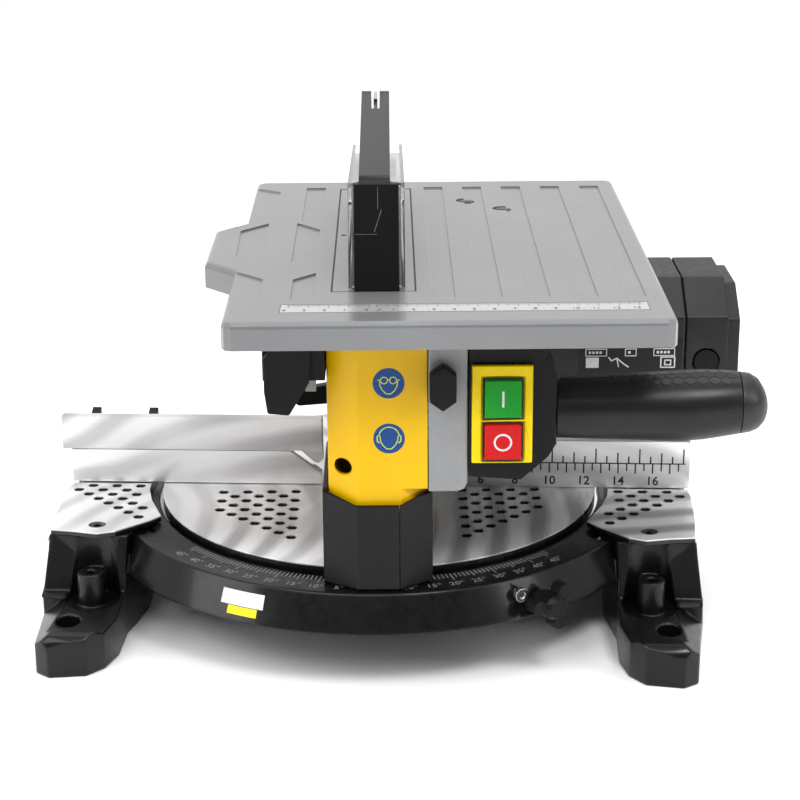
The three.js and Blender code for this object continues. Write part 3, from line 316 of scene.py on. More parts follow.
def cast_grey():
    """Blasted cast aluminium under a thin silver coat."""
    s = Surface("cast_grey_blasted", Metallic=0.35, Specular_IOR_Level=0.4)
    grain = s.noise(1100, detail=3)
    body = s.mix(s.vary(s.noise(30)), rgb(132, 133, 135), rgb(144, 145, 147))
    speckled = s.mix(s.span(grain, 0.5, 0.75, 0.0, 0.4), body, rgb(112, 113, 115))
    colour = s.mix(s.maths("MULTIPLY", s.edges(0.6), 0.5), speckled, rgb(188, 189, 190))
    return s.set(
        Base_Color=colour,
        Roughness=s.vary(grain, 0.42, 0.6),
        Normal=s.bump(grain, 0.04, 0.6),
    )


def turned_steel(name, tone, rough):
    """Turned or ground steel: fine grooves and a light scatter of scratches."""
    s = Surface(name, Metallic=1.0, Anisotropic=0.4)
    grooves = s.noise(220, detail=3, vector=s.stretched((1, 0.5, 9)))
    low = tuple(c * 0.84 for c in tone[:3]) + (1.0,)
    body = s.mix(s.vary(grooves), low, tone)
    rim = tuple(min(1, c * 1.4) for c in tone[:3]) + (1.0,)
    return s.set(
        Base_Color=s.mix(s.maths("MULTIPLY", s.edges(0.35), 0.5), body, rim),
        Roughness=s.vary(grooves, rough - 0.03, rough + 0.05),
        Normal=s.bump(grooves, 0.006, 0.4),
    )


def moulded(name, dark, light, rough, grain=0.05, level=0.4):
    """Moulded plastic: fine spark-eroded grain, a faint mottling and paler rubbed edges."""
    s = Surface(name, Specular_IOR_Level=level)
    pits = s.maths("ADD", s.cells(1500), s.noise(2300, detail=2))
    body = s.mix(s.vary(s.noise(35)), dark, light)
    pale = tuple(min(1, c * 2.2 + 0.01) for c in light[:3]) + (1.0,)
    colour = s.mix(s.maths("MULTIPLY", s.edges(0.5), 0.35), body, pale)
    return s.set(
        Base_Color=colour,
        Roughness=s.vary(s.noise(300), rough - 0.05, rough + 0.08),
        Normal=s.bump(pits, grain, 0.6),
    )


def grip_rubber():
    """Soft black overmould of the handle: dull, slightly cloudy with handling."""
    s = Surface("grip_rubber", Specular_IOR_Level=0.24, Sheen_Weight=0.08, Sheen_Roughness=0.5)
    pits = s.noise(1900, detail=2)
    colour = s.mix(s.span(s.noise(28, detail=3), 0.35, 0.7), rgb(18, 18, 19), rgb(27, 27, 28))
    return s.set(
        Base_Color=colour,
        Roughness=s.vary(s.noise(50), 0.28, 0.38),
        Normal=s.bump(pits, 0.03, 0.5),
    )


def coated_colour(name, main, second, rim, rough):
    """A satin colour coat: faint orange peel, a slightly deeper tone in patches and thin coat on edges."""
    s = Surface(name, Specular_IOR_Level=0.16, Coat_Weight=0.1, Coat_Roughness=0.2)
    body = s.mix(s.span(s.noise(22, detail=3), 0.35, 0.7), main, second)
    colour = s.mix(s.maths("MULTIPLY", s.edges(0.45), 0.5), body, rim)
    peel = s.noise(650, detail=2)
    return s.set(
        Base_Color=colour,
        Roughness=s.vary(peel, rough - 0.05, rough + 0.08),
        Normal=s.bump(peel, 0.02, 0.5),
    )


def smoked():
    """Clear smoked polycarbonate with faint moulding flow and fine dust scratches."""
    s = Surface("smoked_polycarbonate", IOR=1.3, Transmission_Weight=0.94, Specular_IOR_Level=0.4)
    flow = s.noise(30, detail=2, vector=s.stretched((1, 1, 4)))
    scratches = s.span(s.noise(500, detail=4, vector=s.stretched((1, 8, 1))), 0.6, 0.8)
    colour = s.mix(flow, rgb(186, 188, 190), rgb(204, 206, 208))
    return s.set(
        Base_Color=colour,
        Roughness=s.span(scratches, 0, 1, 0.04, 0.16),
        Normal=s.bump(flow, 0.05, 0.3),
    )


def wound_copper():
    """Armature: enamelled copper windings with a lacquer sheen."""
    s = Surface("wound_copper", Metallic=0.8, Coat_Weight=0.5, Coat_Roughness=0.2)
    turns = s.noise(700, detail=2, vector=s.stretched((1, 6, 6)))
    return s.set(
        Base_Color=s.mix(turns, rgb(120, 62, 30), rgb(205, 128, 78)),
        Roughness=s.vary(turns, 0.25, 0.45),
        Normal=s.bump(turns, 0.15, 0.7),
    )


def spine_plastic():
    """The hood's carrier: glossy black in front and duller grey behind the front wall."""
    s = Surface("spine_plastic", Specular_IOR_Level=0.14)
    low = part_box("hood_spine")[0]
    upright = s.maths("SUBTRACT", s.along("Y"), s.maths("MULTIPLY", s.along("Z"), HOOD_LEAN))
    wall = low.y - low.z * HOOD_LEAN + HOOD_WALL_THICK * MM
    behind = s.span(upright, wall - 0.5 * MM, wall + 0.5 * MM)
    mottle = s.noise(35)
    front = s.mix(mottle, rgb(9, 9, 10), rgb(15, 15, 16))
    rest = s.mix(mottle, rgb(46, 47, 48), rgb(55, 56, 57))
    pits = s.noise(2100, detail=2)
    return s.set(
        Base_Color=s.mix(behind, front, rest),
        Roughness=s.vary(pits, 0.32, 0.46),
        Normal=s.bump(pits, 0.02, 0.5),
    )


def ink(name, colour, thin):
    """Printed or engraved marks, with slightly uneven cover."""
    s = Surface(name, Specular_IOR_Level=0.3)
    cover = s.span(s.noise(900, detail=3), 0.35, 0.7)
    return s.set(
        Base_Color=s.mix(cover, colour, thin),
        Roughness=s.span(cover, 0, 1, 0.4, 0.6),
        Normal=s.bump(cover, 0.01, 0.3),
    )


def ruler_foil():
    """The pale metallised foil of the table's ruler."""
    s = Surface("ruler_foil", Metallic=0.35, Coat_Weight=0.6, Coat_Roughness=0.15)
    grain = s.noise(800, detail=3, vector=s.stretched((1, 10, 10)))
    return s.set(
        Base_Color=s.mix(grain, rgb(158, 159, 160), rgb(184, 185, 186)),
        Roughness=s.vary(grain, 0.25, 0.4),
        Normal=s.bump(grain, 0.008, 0.4),
    )


def floor_finish():
    """A plain pale studio floor with the faintest mottling."""
    s = Surface("studio_floor", Specular_IOR_Level=0.1)
    cloud = s.noise(1.5, detail=3)
    return s.set(
        Base_Color=s.mix(cloud, (0.93, 0.93, 0.93, 1), (0.95, 0.95, 0.95, 1)),
        Roughness=s.span(cloud, 0, 1, 0.8, 0.9),
    )


WING_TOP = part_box("wing_plate_right")[1].z
FAR = 0.9  # metres from the work to the centre of the cutter's sweep, for milled faces
LOOKS = {
    "black_cast": black_cast(),
    "machined": milled("milled_top", (0, 0, 0.5), "Z", (0.2, FAR * 0.2, 0), rough=(0.2, 0.3), top=WING_TOP),
    "cast_grey": cast_grey(),
    "steel": turned_steel("turned_steel", (0.56, 0.57, 0.58, 1), 0.28),
    "dark_steel": turned_steel("blackened_steel", (0.1, 0.1, 0.105, 1), 0.34),
    "black_plastic": moulded("black_plastic", rgb(9, 9, 10), rgb(15, 15, 16), 0.4, level=0.16),
    "yellow": coated_colour("yellow_coat", rgb(211, 165, 0), rgb(217, 172, 0), rgb(230, 190, 10), 0.34),
    "yellow_plastic": moulded("yellow_plastic", rgb(218, 188, 0), rgb(226, 198, 2), 0.26, 0.02, 0.16),
    "green": moulded("green_plastic", rgb(8, 130, 30), rgb(16, 140, 36), 0.3, 0.02, 0.16),
    "red": moulded("red_plastic", rgb(180, 14, 14), rgb(190, 20, 20), 0.3, 0.02, 0.16),
    "copper": wound_copper(),
    "smoked": smoked(),
}
FENCE_FACE = milled("milled_fence", (0, 0.6, 0), "Y", (0.25, 0, FAR * 0.35), bright=0.86)
# Painted shade: the upper fence is the same milled aluminium as the lower fence, painted darker (bright 0.66
# against 0.86).
UPPER_FENCE_SHADED = milled("milled_upper_fence_painted_shade", (0, 0.6, 0), "Y", (0.15, 0, FAR * 0.3), bright=0.66)
WING_FACE = milled("milled_wing", (0, 0, -0.3), "Z", (-0.1, 0.3, 0), bright=0.9, top=WING_TOP)
TABLE_COAT = table_coat()
GLOSS_BLACK = moulded("screw_black", rgb(14, 14, 15), rgb(22, 22, 23), 0.12, 0.01, 0.5)
GUARD_PLASTIC = moulded("guard_plastic", rgb(14, 14, 15), rgb(21, 21, 22), 0.4, level=0.2)
SPECIAL = {
    "upper_table": TABLE_COAT,
    "table_insert": TABLE_COAT,
    "fence_right": FENCE_FACE,
    "fence_left_lower": FENCE_FACE,
    "fence_left_upper": UPPER_FENCE_SHADED,
    "wing_plate_right": WING_FACE,
    "wing_plate_left": WING_FACE,
    "ruler_strip": ruler_foil(),
    "grip": grip_rubber(),
    "grip_cap": moulded("cap_plastic", rgb(26, 26, 27), rgb(34, 34, 35), 0.36),
    "hood_spine": spine_plastic(),
    "table_screw_left": GLOSS_BLACK,
    "table_screw_right": GLOSS_BLACK,
    "motor_housing": moulded("motor_plastic", rgb(22, 22, 23), rgb(30, 30, 31), 0.4, level=0.3),
    "motor_end_cap": moulded("motor_plastic_end", rgb(20, 20, 21), rgb(28, 28, 29), 0.42, level=0.3),
    "lower_guard": GUARD_PLASTIC,
    "guard_corner": GUARD_PLASTIC,
}
BLACK_INK = ink("black_ink", rgb(22, 22, 24), rgb(44, 44, 46))
WHITE_INK = ink("white_ink", rgb(214, 214, 214), rgb(188, 188, 188))
CAST_MARK = ink("cast_mark", rgb(128, 129, 131), rgb(104, 105, 107))
# Light grey on the black hood wall: painted glints.
HOOD_GLINT_PAINT = ink("hood_glint_paint", rgb(92, 93, 95), rgb(60, 61, 62))
PLATE_BLACK = ink("plate_black", rgb(11, 11, 12), rgb(17, 17, 18))
BLUE_LABEL = ink("blue_label", rgb(0, 58, 118), rgb(4, 66, 128))
LABEL_LINE = ink("label_line", rgb(196, 206, 70), rgb(176, 188, 60))
YELLOW_LABEL = ink("yellow_label", rgb(238, 222, 20), rgb(228, 210, 14))
# Dark strips painted where shade falls: in the gap round the insert and round the buttons, and along the grip's
# mould line.
SHADOW_INK = moulded("painted_shadow_black", rgb(10, 10, 11), rgb(16, 16, 17), 0.5)


def look_of(node):
    """The material of a CAD node: its own, or that of its slot."""
    return SPECIAL.get(node) or LOOKS[SLOT_OF[node]]


# ---------------------------------------------------------------- mesh helpers

ROUNDED_FROM = 30  # degrees between faces from which an edge is rounded
SHARP_FROM = 48  # degrees between faces from which an edge stays sharp in the shading
STROKE_OVERRUN = 0.6  # how far a stroke runs past its points, as a share of half its width
DISC_STEPS = 48
FONT_RISE = 0.7  # height of a figure as a share of the font's size


def new_object(name, data):
    """An object in the scene that holds the data."""
    obj = bpy.data.objects.new(name, data)
    bpy.context.scene.collection.objects.link(obj)
    return obj


def add_piece(name, bm, local, body, look, width=0.0):
    """Turns a millimetre mesh in a local frame into a piece that rides on a body."""
    mesh = bpy.data.meshes.new(name)
    bmesh.ops.recalc_face_normals(bm, faces=bm.faces)
    bm.to_mesh(mesh)
    bm.free()
    mesh.transform(local @ Matrix.Scale(MM, 4))
    mesh.materials.append(look)
    obj = new_object(name, mesh)
    if width:
        soften(obj, width)
    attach(obj, body)


def soften(obj, width):
    """Rounds the sharp edges of a mesh and shades the rest smooth."""
    bevel = obj.modifiers.new("rounding", "BEVEL")
    bevel.width = width * MM
    bevel.segments = 2
    bevel.limit_method = "ANGLE"
    bevel.angle_limit = math.radians(ROUNDED_FROM)
    bevel.use_clamp_overlap = False
    bevel.miter_outer = "MITER_ARC"
    normals = obj.modifiers.new("normals", "WEIGHTED_NORMAL")
    normals.keep_sharp = True
    for polygon in obj.data.polygons:
        polygon.use_smooth = True
    obj.data.set_sharp_from_angle(angle=math.radians(SHARP_FROM))


def extrude(bm, outline, low, high, place):
    """A closed prism over a flat outline, from height low to high."""
    bottom = [bm.verts.new(place @ Vector((x, y, low))) for x, y in outline]
    top = [bm.verts.new(place @ Vector((x, y, high))) for x, y in outline]
    bm.faces.new(reversed(bottom))
    bm.faces.new(top)
    count = len(outline)
    for i in range(count):
        j = (i + 1) % count
        bm.faces.new((bottom[i], bottom[j], top[j], top[i]))


def bar(bm, x0, x1, y0, y1, low, high, place=Matrix.Identity(4)):
    """A flat rectangular mark."""
    extrude(bm, [(x0, y0), (x1, y0), (x1, y1), (x0, y1)], low, high, place)


def stroke(bm, points, width, low, high, place=Matrix.Identity(4), closed=False):
    """A flat line of the given width through the points."""
    count = len(points)
    spans = count if closed else count - 1
    for i in range(spans):
        a = Vector(points[i])
        b = Vector(points[(i + 1) % count])
        along = (b - a).normalized() * width / 2
        side = Vector((-along.y, along.x))
        first = a - along * STROKE_OVERRUN
        last = b + along * STROKE_OVERRUN
        extrude(bm, [first + side, first - side, last - side, last + side], low, high, place)


def skin(bm, rows, closed=False):
    """Joins a run of four-cornered sections, and caps its ends unless it closes on itself."""
    following = rows[1:] + rows[:1] if closed else rows[1:]
    for here, there in zip(rows, following):
        for k in range(4):
            n = (k + 1) % 4
            bm.faces.new((here[k], there[k], there[n], here[n]))
    if not closed:
        bm.faces.new(rows[0])
        bm.faces.new(reversed(rows[-1]))


def ring(bm, radius, width, low, high, place, start=0.0, end=360.0, steps=40):
    """A flat ring, or part of one between two angles in degrees."""
    whole = abs(end - start) >= 360
    outer = radius + width / 2
    inner = radius - width / 2
    section = ((outer, low), (outer, high), (inner, high), (inner, low))
    rows = []
    for i in range(steps if whole else steps + 1):
        a = math.radians(start + (end - start) * i / steps)
        points = [place @ Vector((r * math.cos(a), r * math.sin(a), z)) for r, z in section]
        rows.append([bm.verts.new(point) for point in points])
    skin(bm, rows, closed=whole)


def disc(radius):
    """The outline of a circle."""
    turn = 2 * math.pi / DISC_STEPS
    return [(radius * math.cos(i * turn), radius * math.sin(i * turn)) for i in range(DISC_STEPS)]


def write(bm, text, size, low, high, place, weight=0.0):
    """Figures centred on the place's origin, size millimetres high and thickened by weight."""
    curve = bpy.data.curves.new("figures", "FONT")
    curve.body = text
    curve.size = size / FONT_RISE
    curve.align_x = "CENTER"
    curve.align_y = "CENTER"
    curve.extrude = (high - low) / 2
    curve.offset = weight
    curve.resolution_u = 3
    holder = new_object("figures", curve)
    bpy.context.view_layer.update()
    shape = holder.evaluated_get(bpy.context.evaluated_depsgraph_get())
    mesh = bpy.data.meshes.new_from_object(shape)
    mesh.transform(place @ Matrix.Translation((0, 0, (low + high) / 2)))
    bm.from_mesh(mesh)
    bpy.data.meshes.remove(mesh)
    bpy.data.objects.remove(holder)
    bpy.data.curves.remove(curve)


def facing(x, y, z):
    """A drawing plane on a front face: X as the model's, Y up, and Z towards the user."""
    return Matrix(((1, 0, 0, x), (0, 0, -1, y), (0, 1, 0, z), (0, 0, 0, 1)))


def lying(x, y, z, turn=0.0):
    """A drawing plane on a top face."""
    return Matrix.Translation((x, y, z)) @ Matrix.Rotation(turn, 4, "Z")


# ---------------------------------------------------------------- CAD bodies with softened edges

WELD = 1e-6  # metres within which a node's corners are one

ROUNDING = {
    "base_casting": 0.9,
    "kerf_insert": 0.3,
    "fence_right": 0.5,
    "fence_left_lower": 0.5,
    "fence_left_upper": 0.5,
    "fence_knob_outer": 0.25,
    "fence_knob_inner": 0.25,
    "mitre_lock_knob": 0.35,
    "bevel_lever": 0.8,
    "bevel_bracket": 1.0,
    "lock_down_pin": 0.5,
    "head_casting": 0.8,
    "blade_casing": 0.6,
    "arbor_cover": 0.5,
    "lower_guard": 0.6,
    "guard_corner": 0.6,
    "handle_housing": 1.0,
    "switch_plate": 0.7,
    "start_button": 0.6,
    "stop_button": 0.6,
    "grip": 0.25,
    "grip_cap": 0.3,
    "latch_knob": 0.6,
    "motor_housing": 1.2,
    "motor_end_cap": 1.0,
    "brush_cap_front": 0.4,
    "brush_cap_rear": 0.4,
    "cable_gland": 0.3,
    "hood_shell": 0.4,
    "hood_spine": 0.3,
    "table_lock_block": 0.7,
    "table_lock_lever": 0.8,
    "riving_knife": 0.2,
    "blade": 0.15,
    "rear_column": 0.4,
    "front_column": 0.4,
    "mitre_stop_screw": 0.2,
    "chop_pin": 0.4,
    "bevel_bolt": 0.4,
}


def softened(node, width):
    """A copy of a CAD node with rounded edges, which stands for it."""
    source = NODES[node]
    bm = bmesh.new()
    bm.from_mesh(source.data)
    bmesh.ops.remove_doubles(bm, verts=bm.verts, dist=WELD)
    mesh = bpy.data.meshes.new(node + "_body")
    bm.to_mesh(mesh)
    bm.free()
    mesh.materials.clear()
    mesh.materials.append(look_of(node))
    obj = new_object(node + "_body", mesh)
    soften(obj, width)
    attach(obj, BODY_OF[node])
    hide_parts(node)


def dress_frame():
    """Gives every CAD node its look, with a softened copy for those that show their edges."""
    for node, source in NODES.items():
        if node in ROUNDING:
            softened(node, ROUNDING[node])
        else:
            source.data.materials.clear()
            source.data.materials.append(look_of(node))


# ---------------------------------------------------------------- scales

FENCE_LINE_RISE = 18.6  # from the fence's foot to the line between its two scales
FENCE_LINE_HALF = 0.36  # half the line's width
FENCE_MARK_HALF = 0.42  # half a mark's width
FENCE_HALF_CMS = (6.2, 4.6)  # lengths of the marks at every half centimetre, in turn
FENCE_QUARTERS = (9.0, 4.4, 6.6, 4.4)  # lengths of the marks at every quarter inch, in turn
FENCE_FIRST = 8  # each scale's first mark, counted from the blade
FENCE_FIGURE = 5.2
FENCE_FIGURE_DROP = 11.0  # from the line to the middle of the figures
FENCE_FIGURE_WEIGHT = 0.12


def fence_ruler():
    """Centimetre marks and figures below a line along the right fence, inch marks above it."""
    low, high = local_box("fence_right", BASE)
    plane = facing(0, low.y, 0)
    line_z = low.z + FENCE_LINE_RISE
    start = low.x + 2
    end = high.x - 2.5
    bm = bmesh.new()
    bar(bm, start, end, line_z - FENCE_LINE_HALF, line_z + FENCE_LINE_HALF, 0, PRINT, plane)
    for unit, parts, lengths, way in ((CM, 2, FENCE_HALF_CMS, -1), (INCH, 4, FENCE_QUARTERS, 1)):
        for i in range(FENCE_FIRST, int(end // (unit / parts)) + 1):
            x = i * unit / parts
            if x > start:
                bottom, top = sorted((line_z, line_z + way * lengths[i % parts]))
                bar(bm, x - FENCE_MARK_HALF, x + FENCE_MARK_HALF, bottom, top, 0, PRINT, plane)
    for cm in range(4, int(end // CM) + 1, 2):
        place = facing(cm * CM, low.y, line_z - FENCE_FIGURE_DROP)
        write(bm, str(cm), FENCE_FIGURE, 0, PRINT, place, FENCE_FIGURE_WEIGHT)
    add_piece("fence_ruler", bm, BASE, "base", BLACK_INK)


ZERO_RIGHT = 1.0  # where the table's two rulers start, one each way along X
ZERO_LEFT = -3.0
RIM_INSET = 0.35  # from the ruler's sides to the lines along them
RIM_HALF = 0.1  # half those lines' width
TABLE_FIGURE = 3.0  # height of the figures, and of the two zeros
TABLE_ZERO = 2.6
TABLE_FIGURE_RISE = 4.0  # from the ruler's near side to the middle of the figures


def by_tens(count, at_tens, at_fives, elsewhere):
    """One of three values: for multiples of ten, for the other multiples of five, and for the rest."""
    if count % 10 == 0:
        return at_tens
    return at_fives if count % 5 == 0 else elsewhere


def table_ruler():
    """Millimetre marks both ways from two zeros on the table's ruler, and eighths of an inch."""
    low, high = local_box("ruler_strip", SAW)
    top = high.z
    bm = bmesh.new()
    for y in (low.y + RIM_INSET, high.y - RIM_INSET):
        bar(bm, low.x + RIM_INSET, high.x - RIM_INSET, y - RIM_HALF, y + RIM_HALF, top, top + PRINT)
    figure_y = low.y + TABLE_FIGURE_RISE
    for start, step, limit in ((ZERO_RIGHT, 1, high.x - 3), (ZERO_LEFT, -1, low.x + 3)):
        for mm in range(int(abs(limit - start)) + 1):
            x = start + step * mm
            length = by_tens(mm, 4.6, 3.4, 2.2)
            half = by_tens(mm, 0.17, 0.17, 0.12)
            bar(bm, x - half, x + half, high.y - 1 - length, high.y - 1, top, top + PRINT)
            if mm == 0:
                write(bm, "0", TABLE_ZERO, 0, PRINT, lying(x + step * 1.2, figure_y, top))
            elif mm % 10 == 0:
                write(bm, str(mm // 10), TABLE_FIGURE, 0, PRINT, lying(x - 2.0, figure_y, top))
    table_eighths(bm, low, high)
    add_piece("table_ruler_marks", bm, SAW, "table", BLACK_INK)


def table_eighths(bm, low, high):
    """Short marks at every eighth of an inch along the ruler's near edge, longer at whole inches."""
    eighth = INCH / 8
    for i in range(int((high.x - 5) // eighth)):
        x = ZERO_RIGHT + i * eighth
        end = low.y + (2.4 if i % 8 == 0 else 1.5)
        bar(bm, x - 0.11, x + 0.11, low.y + 0.8, end, high.z, high.z + PRINT)


DEGREES_EACH_WAY = 45
DEGREE_INNER = 131.5  # radius where the degree marks start
DEGREE_HALF = 0.33  # half a mark's width
DEGREE_FIGURE = 4.2
DEGREE_FIGURE_R = 144.5  # radius of the figures' middles


def mitre_scale():
    """Degree marks and figures round the black band, about the mitre pivot."""
    pivot = Vector(JOINTS["mitre_swivel"]["pos_m"])
    centre = (BASE.inverted() @ pivot) / MM
    ticks = bmesh.new()
    for degree in range(-DEGREES_EACH_WAY - 1, DEGREES_EACH_WAY + 2):
        end = -DEGREE_INNER - by_tens(degree, 8.2, 6.8, 5.0)
        place = lying(centre.x, centre.y, BAND_DROP, math.radians(degree))
        bar(ticks, -DEGREE_HALF, DEGREE_HALF, end, -DEGREE_INNER, 0, PRINT, place)
    for degree in range(-DEGREES_EACH_WAY, DEGREES_EACH_WAY + 1, 5):
        place = lying(centre.x, centre.y, BAND_DROP, math.radians(degree))
        place = place @ Matrix.Translation((0, -DEGREE_FIGURE_R, 0))
        write(ticks, f"{abs(degree)}\N{DEGREE SIGN}", DEGREE_FIGURE, 0, PRINT, place)
    add_piece("mitre_scale", ticks, BASE, "base", CAST_MARK)


# ---------------------------------------------------------------- labels and marks

LABEL_RADIUS = 8.1
LABEL_INSET = 19.7  # from the casing's right side to the labels' middles
EYE_LABEL_DROP = 28.7  # from the casing's top to each label's middle
EAR_LABEL_DROP = 58.4
LINE = 0.5  # width of the drawings' lines


def casing_labels():
    """Two round blue labels with plain line drawings: goggles, and ear muffs."""
    low, high = local_box("blade_casing", SAW)
    x = high.x - LABEL_INSET
    for name, drop, draw in (
        ("eye_label", EYE_LABEL_DROP, goggles),
        ("ear_label", EAR_LABEL_DROP, ear_muffs),
    ):
        plane = facing(x, low.y, high.z - drop)
        back = bmesh.new()
        extrude(back, disc(LABEL_RADIUS), 0.0, LABEL_THICK, plane)
        add_piece(name, back, SAW, "head", BLUE_LABEL, 0.04)
        lines = bmesh.new()
        draw(lines, plane)
        add_piece(name + "_lines", lines, SAW, "head", LABEL_LINE)


def face_outline(lines, plane):
    """The jaw of a face, from ear to ear."""
    left = [(-4.6, 1.2), (-4.4, -1.2), (-3.2, -3.6), (-1.2, -5.6)]
    right = [(-x, y) for x, y in reversed(left)]
    stroke(lines, left + right, LINE, LABEL_THICK, LABEL_FACE, plane)


def goggles(lines, plane):
    """A face with two round glasses, their bridge and their arms."""
    face_outline(lines, plane)
    for side in (-1, 1):
        lens = plane @ Matrix.Translation((side * 2.3, 1.6, 0))
        ring(lines, 1.75, LINE, LABEL_THICK, LABEL_FACE, lens, steps=24)
        stroke(lines, [(side * 4.1, 1.7), (side * 5.6, 1.9)], LINE, LABEL_THICK, LABEL_FACE, plane)
    stroke(lines, [(-0.6, 1.9), (0.6, 1.9)], LINE, LABEL_THICK, LABEL_FACE, plane)


def ear_muffs(lines, plane):
    """A face with a headband and a cup over each ear."""
    face_outline(lines, plane)
    crown = plane @ Matrix.Translation((0, 1.0, 0))
    ring(lines, 5.2, LINE, LABEL_THICK, LABEL_FACE, crown, 12, 168, 24)
    for side in (-1, 1):
        cup = [(side * 5.0, 1.8), (side * 6.1, 1.2), (side * 6.0, -1.6), (side * 4.9, -2.2)]
        stroke(lines, cup, LINE * 1.2, LABEL_THICK, LABEL_FACE, plane)


def button_marks():
    """A bar on the start button and a ring on the stop button, which ride with them."""
    for node, body in (("start_button", "start"), ("stop_button", "stop")):
        low, high = local_box(node, SAW)
        plane = facing((low.x + high.x) / 2, low.y, (low.z + high.z) / 2)
        bm = bmesh.new()
        if body == "start":
            stroke(bm, [(0, -3.9), (0, 3.9)], 1.1, 0, PRINT, plane)
        else:
            ring(bm, 4.2, 1.0, 0, PRINT, plane)
        add_piece(body + "_mark", bm, SAW, body, WHITE_INK)


BUTTON_GAP = 0.75  # from a button's side to the middle of its painted shade rim


def button_frames():
    """Painted shade: a thin dark rim in the gap round each button on the yellow plate."""
    front = local_box("switch_plate", SAW)[0].y
    bm = bmesh.new()
    for node in ("start_button", "stop_button"):
        low, high = local_box(node, SAW)
        plane = facing((low.x + high.x) / 2, front, (low.z + high.z) / 2)
        half_x = (high.x - low.x) / 2 + BUTTON_GAP
        half_z = (high.z - low.z) / 2 + BUTTON_GAP
        corners = [(-half_x, -half_z), (half_x, -half_z), (half_x, half_z), (-half_x, half_z)]
        stroke(bm, corners, 0.6, 0, 0.25, plane, closed=True)
    add_piece("button_frames", bm, SAW, "head", SHADOW_INK, 0.08)


# The rating plate's marks are placed left of the motor housing's right end and below its top. Each row has
# its bottom, its top and its boxes' left and right sides.
PLATE_ROWS = (
    (34.2, 30.7, ((51.1, 34.6), (27.9, 19.1), (13.6, 5.9))),
    (39.1, 35.1, ((55.4, 43.8), (33.3, 27.3), (17.4, 5.8))),
)
SIGNS_BOTTOM = 46.0
SIGNS_TOP = 40.0
DASH = 1.3
DASH_STEP = 2


def plate_box(bm, plane, left, right, bottom, top, width):
    """The outline of one box on the rating plate."""
    corners = [(-left, -bottom), (-right, -bottom), (-right, -top), (-left, -top)]
    stroke(bm, corners, width, PLATE_THICK, PLATE_FACE, plane, closed=True)


def plate_dashes(bm, plane, left, right, middle):
    """A row of dashes inside one box."""
    for i in range(int((left - right - DASH_STEP) // DASH_STEP)):
        x = -left + 1.6 + i * DASH_STEP
        bar(bm, x, x + DASH, middle - 0.7, middle + 0.7, PLATE_THICK, PLATE_FACE, plane)


def plate_signs(bm, plane):
    """A filled square, a zigzag and two squares one inside the other."""
    bottom, top = SIGNS_BOTTOM, SIGNS_TOP
    bar(bm, -55.3, -48.1, -bottom, -top, PLATE_THICK, PLATE_FACE, plane)
    knee = (-38, -top - 0.4)
    zigzag = [(-42.5, -top), (-41, -top - 2), knee, (-34.6, -top - 3.4), (-31.5, -bottom + 0.4)]
    stroke(bm, zigzag, 0.7, PLATE_THICK, PLATE_FACE, plane)
    stroke(bm, [knee, (-37, -bottom + 0.6)], 0.6, PLATE_THICK, PLATE_FACE, plane)
    plate_box(bm, plane, 13.3, 5.6, bottom, top, 0.7)
    plate_box(bm, plane, 11.1, 7.8, bottom - 1.5, top + 1.8, 0.7)


def rating_plate():
    """A plain black plate of boxes on the motor's front, without any words."""
    low, high = local_box("motor_housing", SAW)
    plane = facing(high.x, low.y, high.z)
    back = bmesh.new()
    bar(back, -60, -1.5, -50, -29, 0, PLATE_THICK, plane)
    add_piece("rating_plate", back, SAW, "head", PLATE_BLACK)
    marks = bmesh.new()
    for bottom, top, boxes in PLATE_ROWS:
        for left, right in boxes:
            plate_box(marks, plane, left, right, bottom, top, 0.45)
            plate_dashes(marks, plane, left, right, -(bottom + top) / 2)
    plate_signs(marks, plane)
    add_piece("rating_plate_marks", marks, SAW, "head", WHITE_INK)


INSERT_GAP = 0.9


def insert_gap():
    """Painted shadow: a dark strip laid in the gap round the table's insert."""
    low, high = local_box("table_insert", SAW)
    top = local_box("upper_table", SAW)[1].z
    bm = bmesh.new()
    corners = [(low.x, low.y), (high.x, low.y), (high.x, high.y), (low.x, high.y)]
    stroke(bm, corners, INSERT_GAP, top - 0.2, top + PRINT / 2, closed=True)
    add_piece("insert_gap", bm, SAW, "table", SHADOW_INK)


def hood_lines():
    """Light lines painted on the hood's front wall: painted glints standing in for a bright edge and a tooth's
    glint seen in the hood, and a faint line below them.
    """
    low, high = local_box("hood_spine", SAW)
    rise = Vector((0, HOOD_LEAN, 1)).normalized()
    out = Vector((0, -rise.z, rise.y))
    across = (1, 0, 0, (low.x + high.x) / 2)
    plane = Matrix((across, (0, rise.y, out.y, low.y), (0, rise.z, out.z, low.z), (0, 0, 0, 1)))
    bm = bmesh.new()
    stroke(bm, [(0.8, 41.5), (0.8, 52.5)], 0.3, 0, PRINT, plane)
    stroke(bm, [(2.6, 41), (-1.0, 30)], 0.4, 0, PRINT, plane)
    stroke(bm, [(-10.9, 28.7), (0.2, 28.7)], 0.25, 0, PRINT, plane)
    add_piece("hood_lines", bm, SAW, "hood", HOOD_GLINT_PAINT)


def latch_tongue():
    """The small yellow tongue between the casing and the latch knob, narrower at the knob's middle."""
    low, high = local_box("latch_knob", SAW)
    casing_low, casing_high = local_box("blade_casing", SAW)
    root = casing_high.x + 0.2
    narrow = low.x + 0.2
    wide = low.x + 1.6
    outline = [
        (root, low.z + 2.5),
        (wide, low.z + 2.5),
        (wide, low.z + 7.0),
        (narrow, low.z + 8.5),
        (narrow, high.z - 6.0),
        (wide, high.z - 4.5),
        (wide, high.z - 1.0),
        (root, high.z - 1.0),
    ]
    bm = bmesh.new()
    extrude(bm, outline, 0.0, 1.2, facing(0, casing_low.y + 3.4, 0))
    add_piece("latch_tongue", bm, SAW, "head", LOOKS["yellow"], 0.15)


PATCH_THICK = 0.15
PATCH_STEPS = 10


def wall_radius(z):
    """Radius of the base's sloped front wall at a height."""
    return WALL_TOP_R + (BAND_DROP - z) * WALL_FLARE


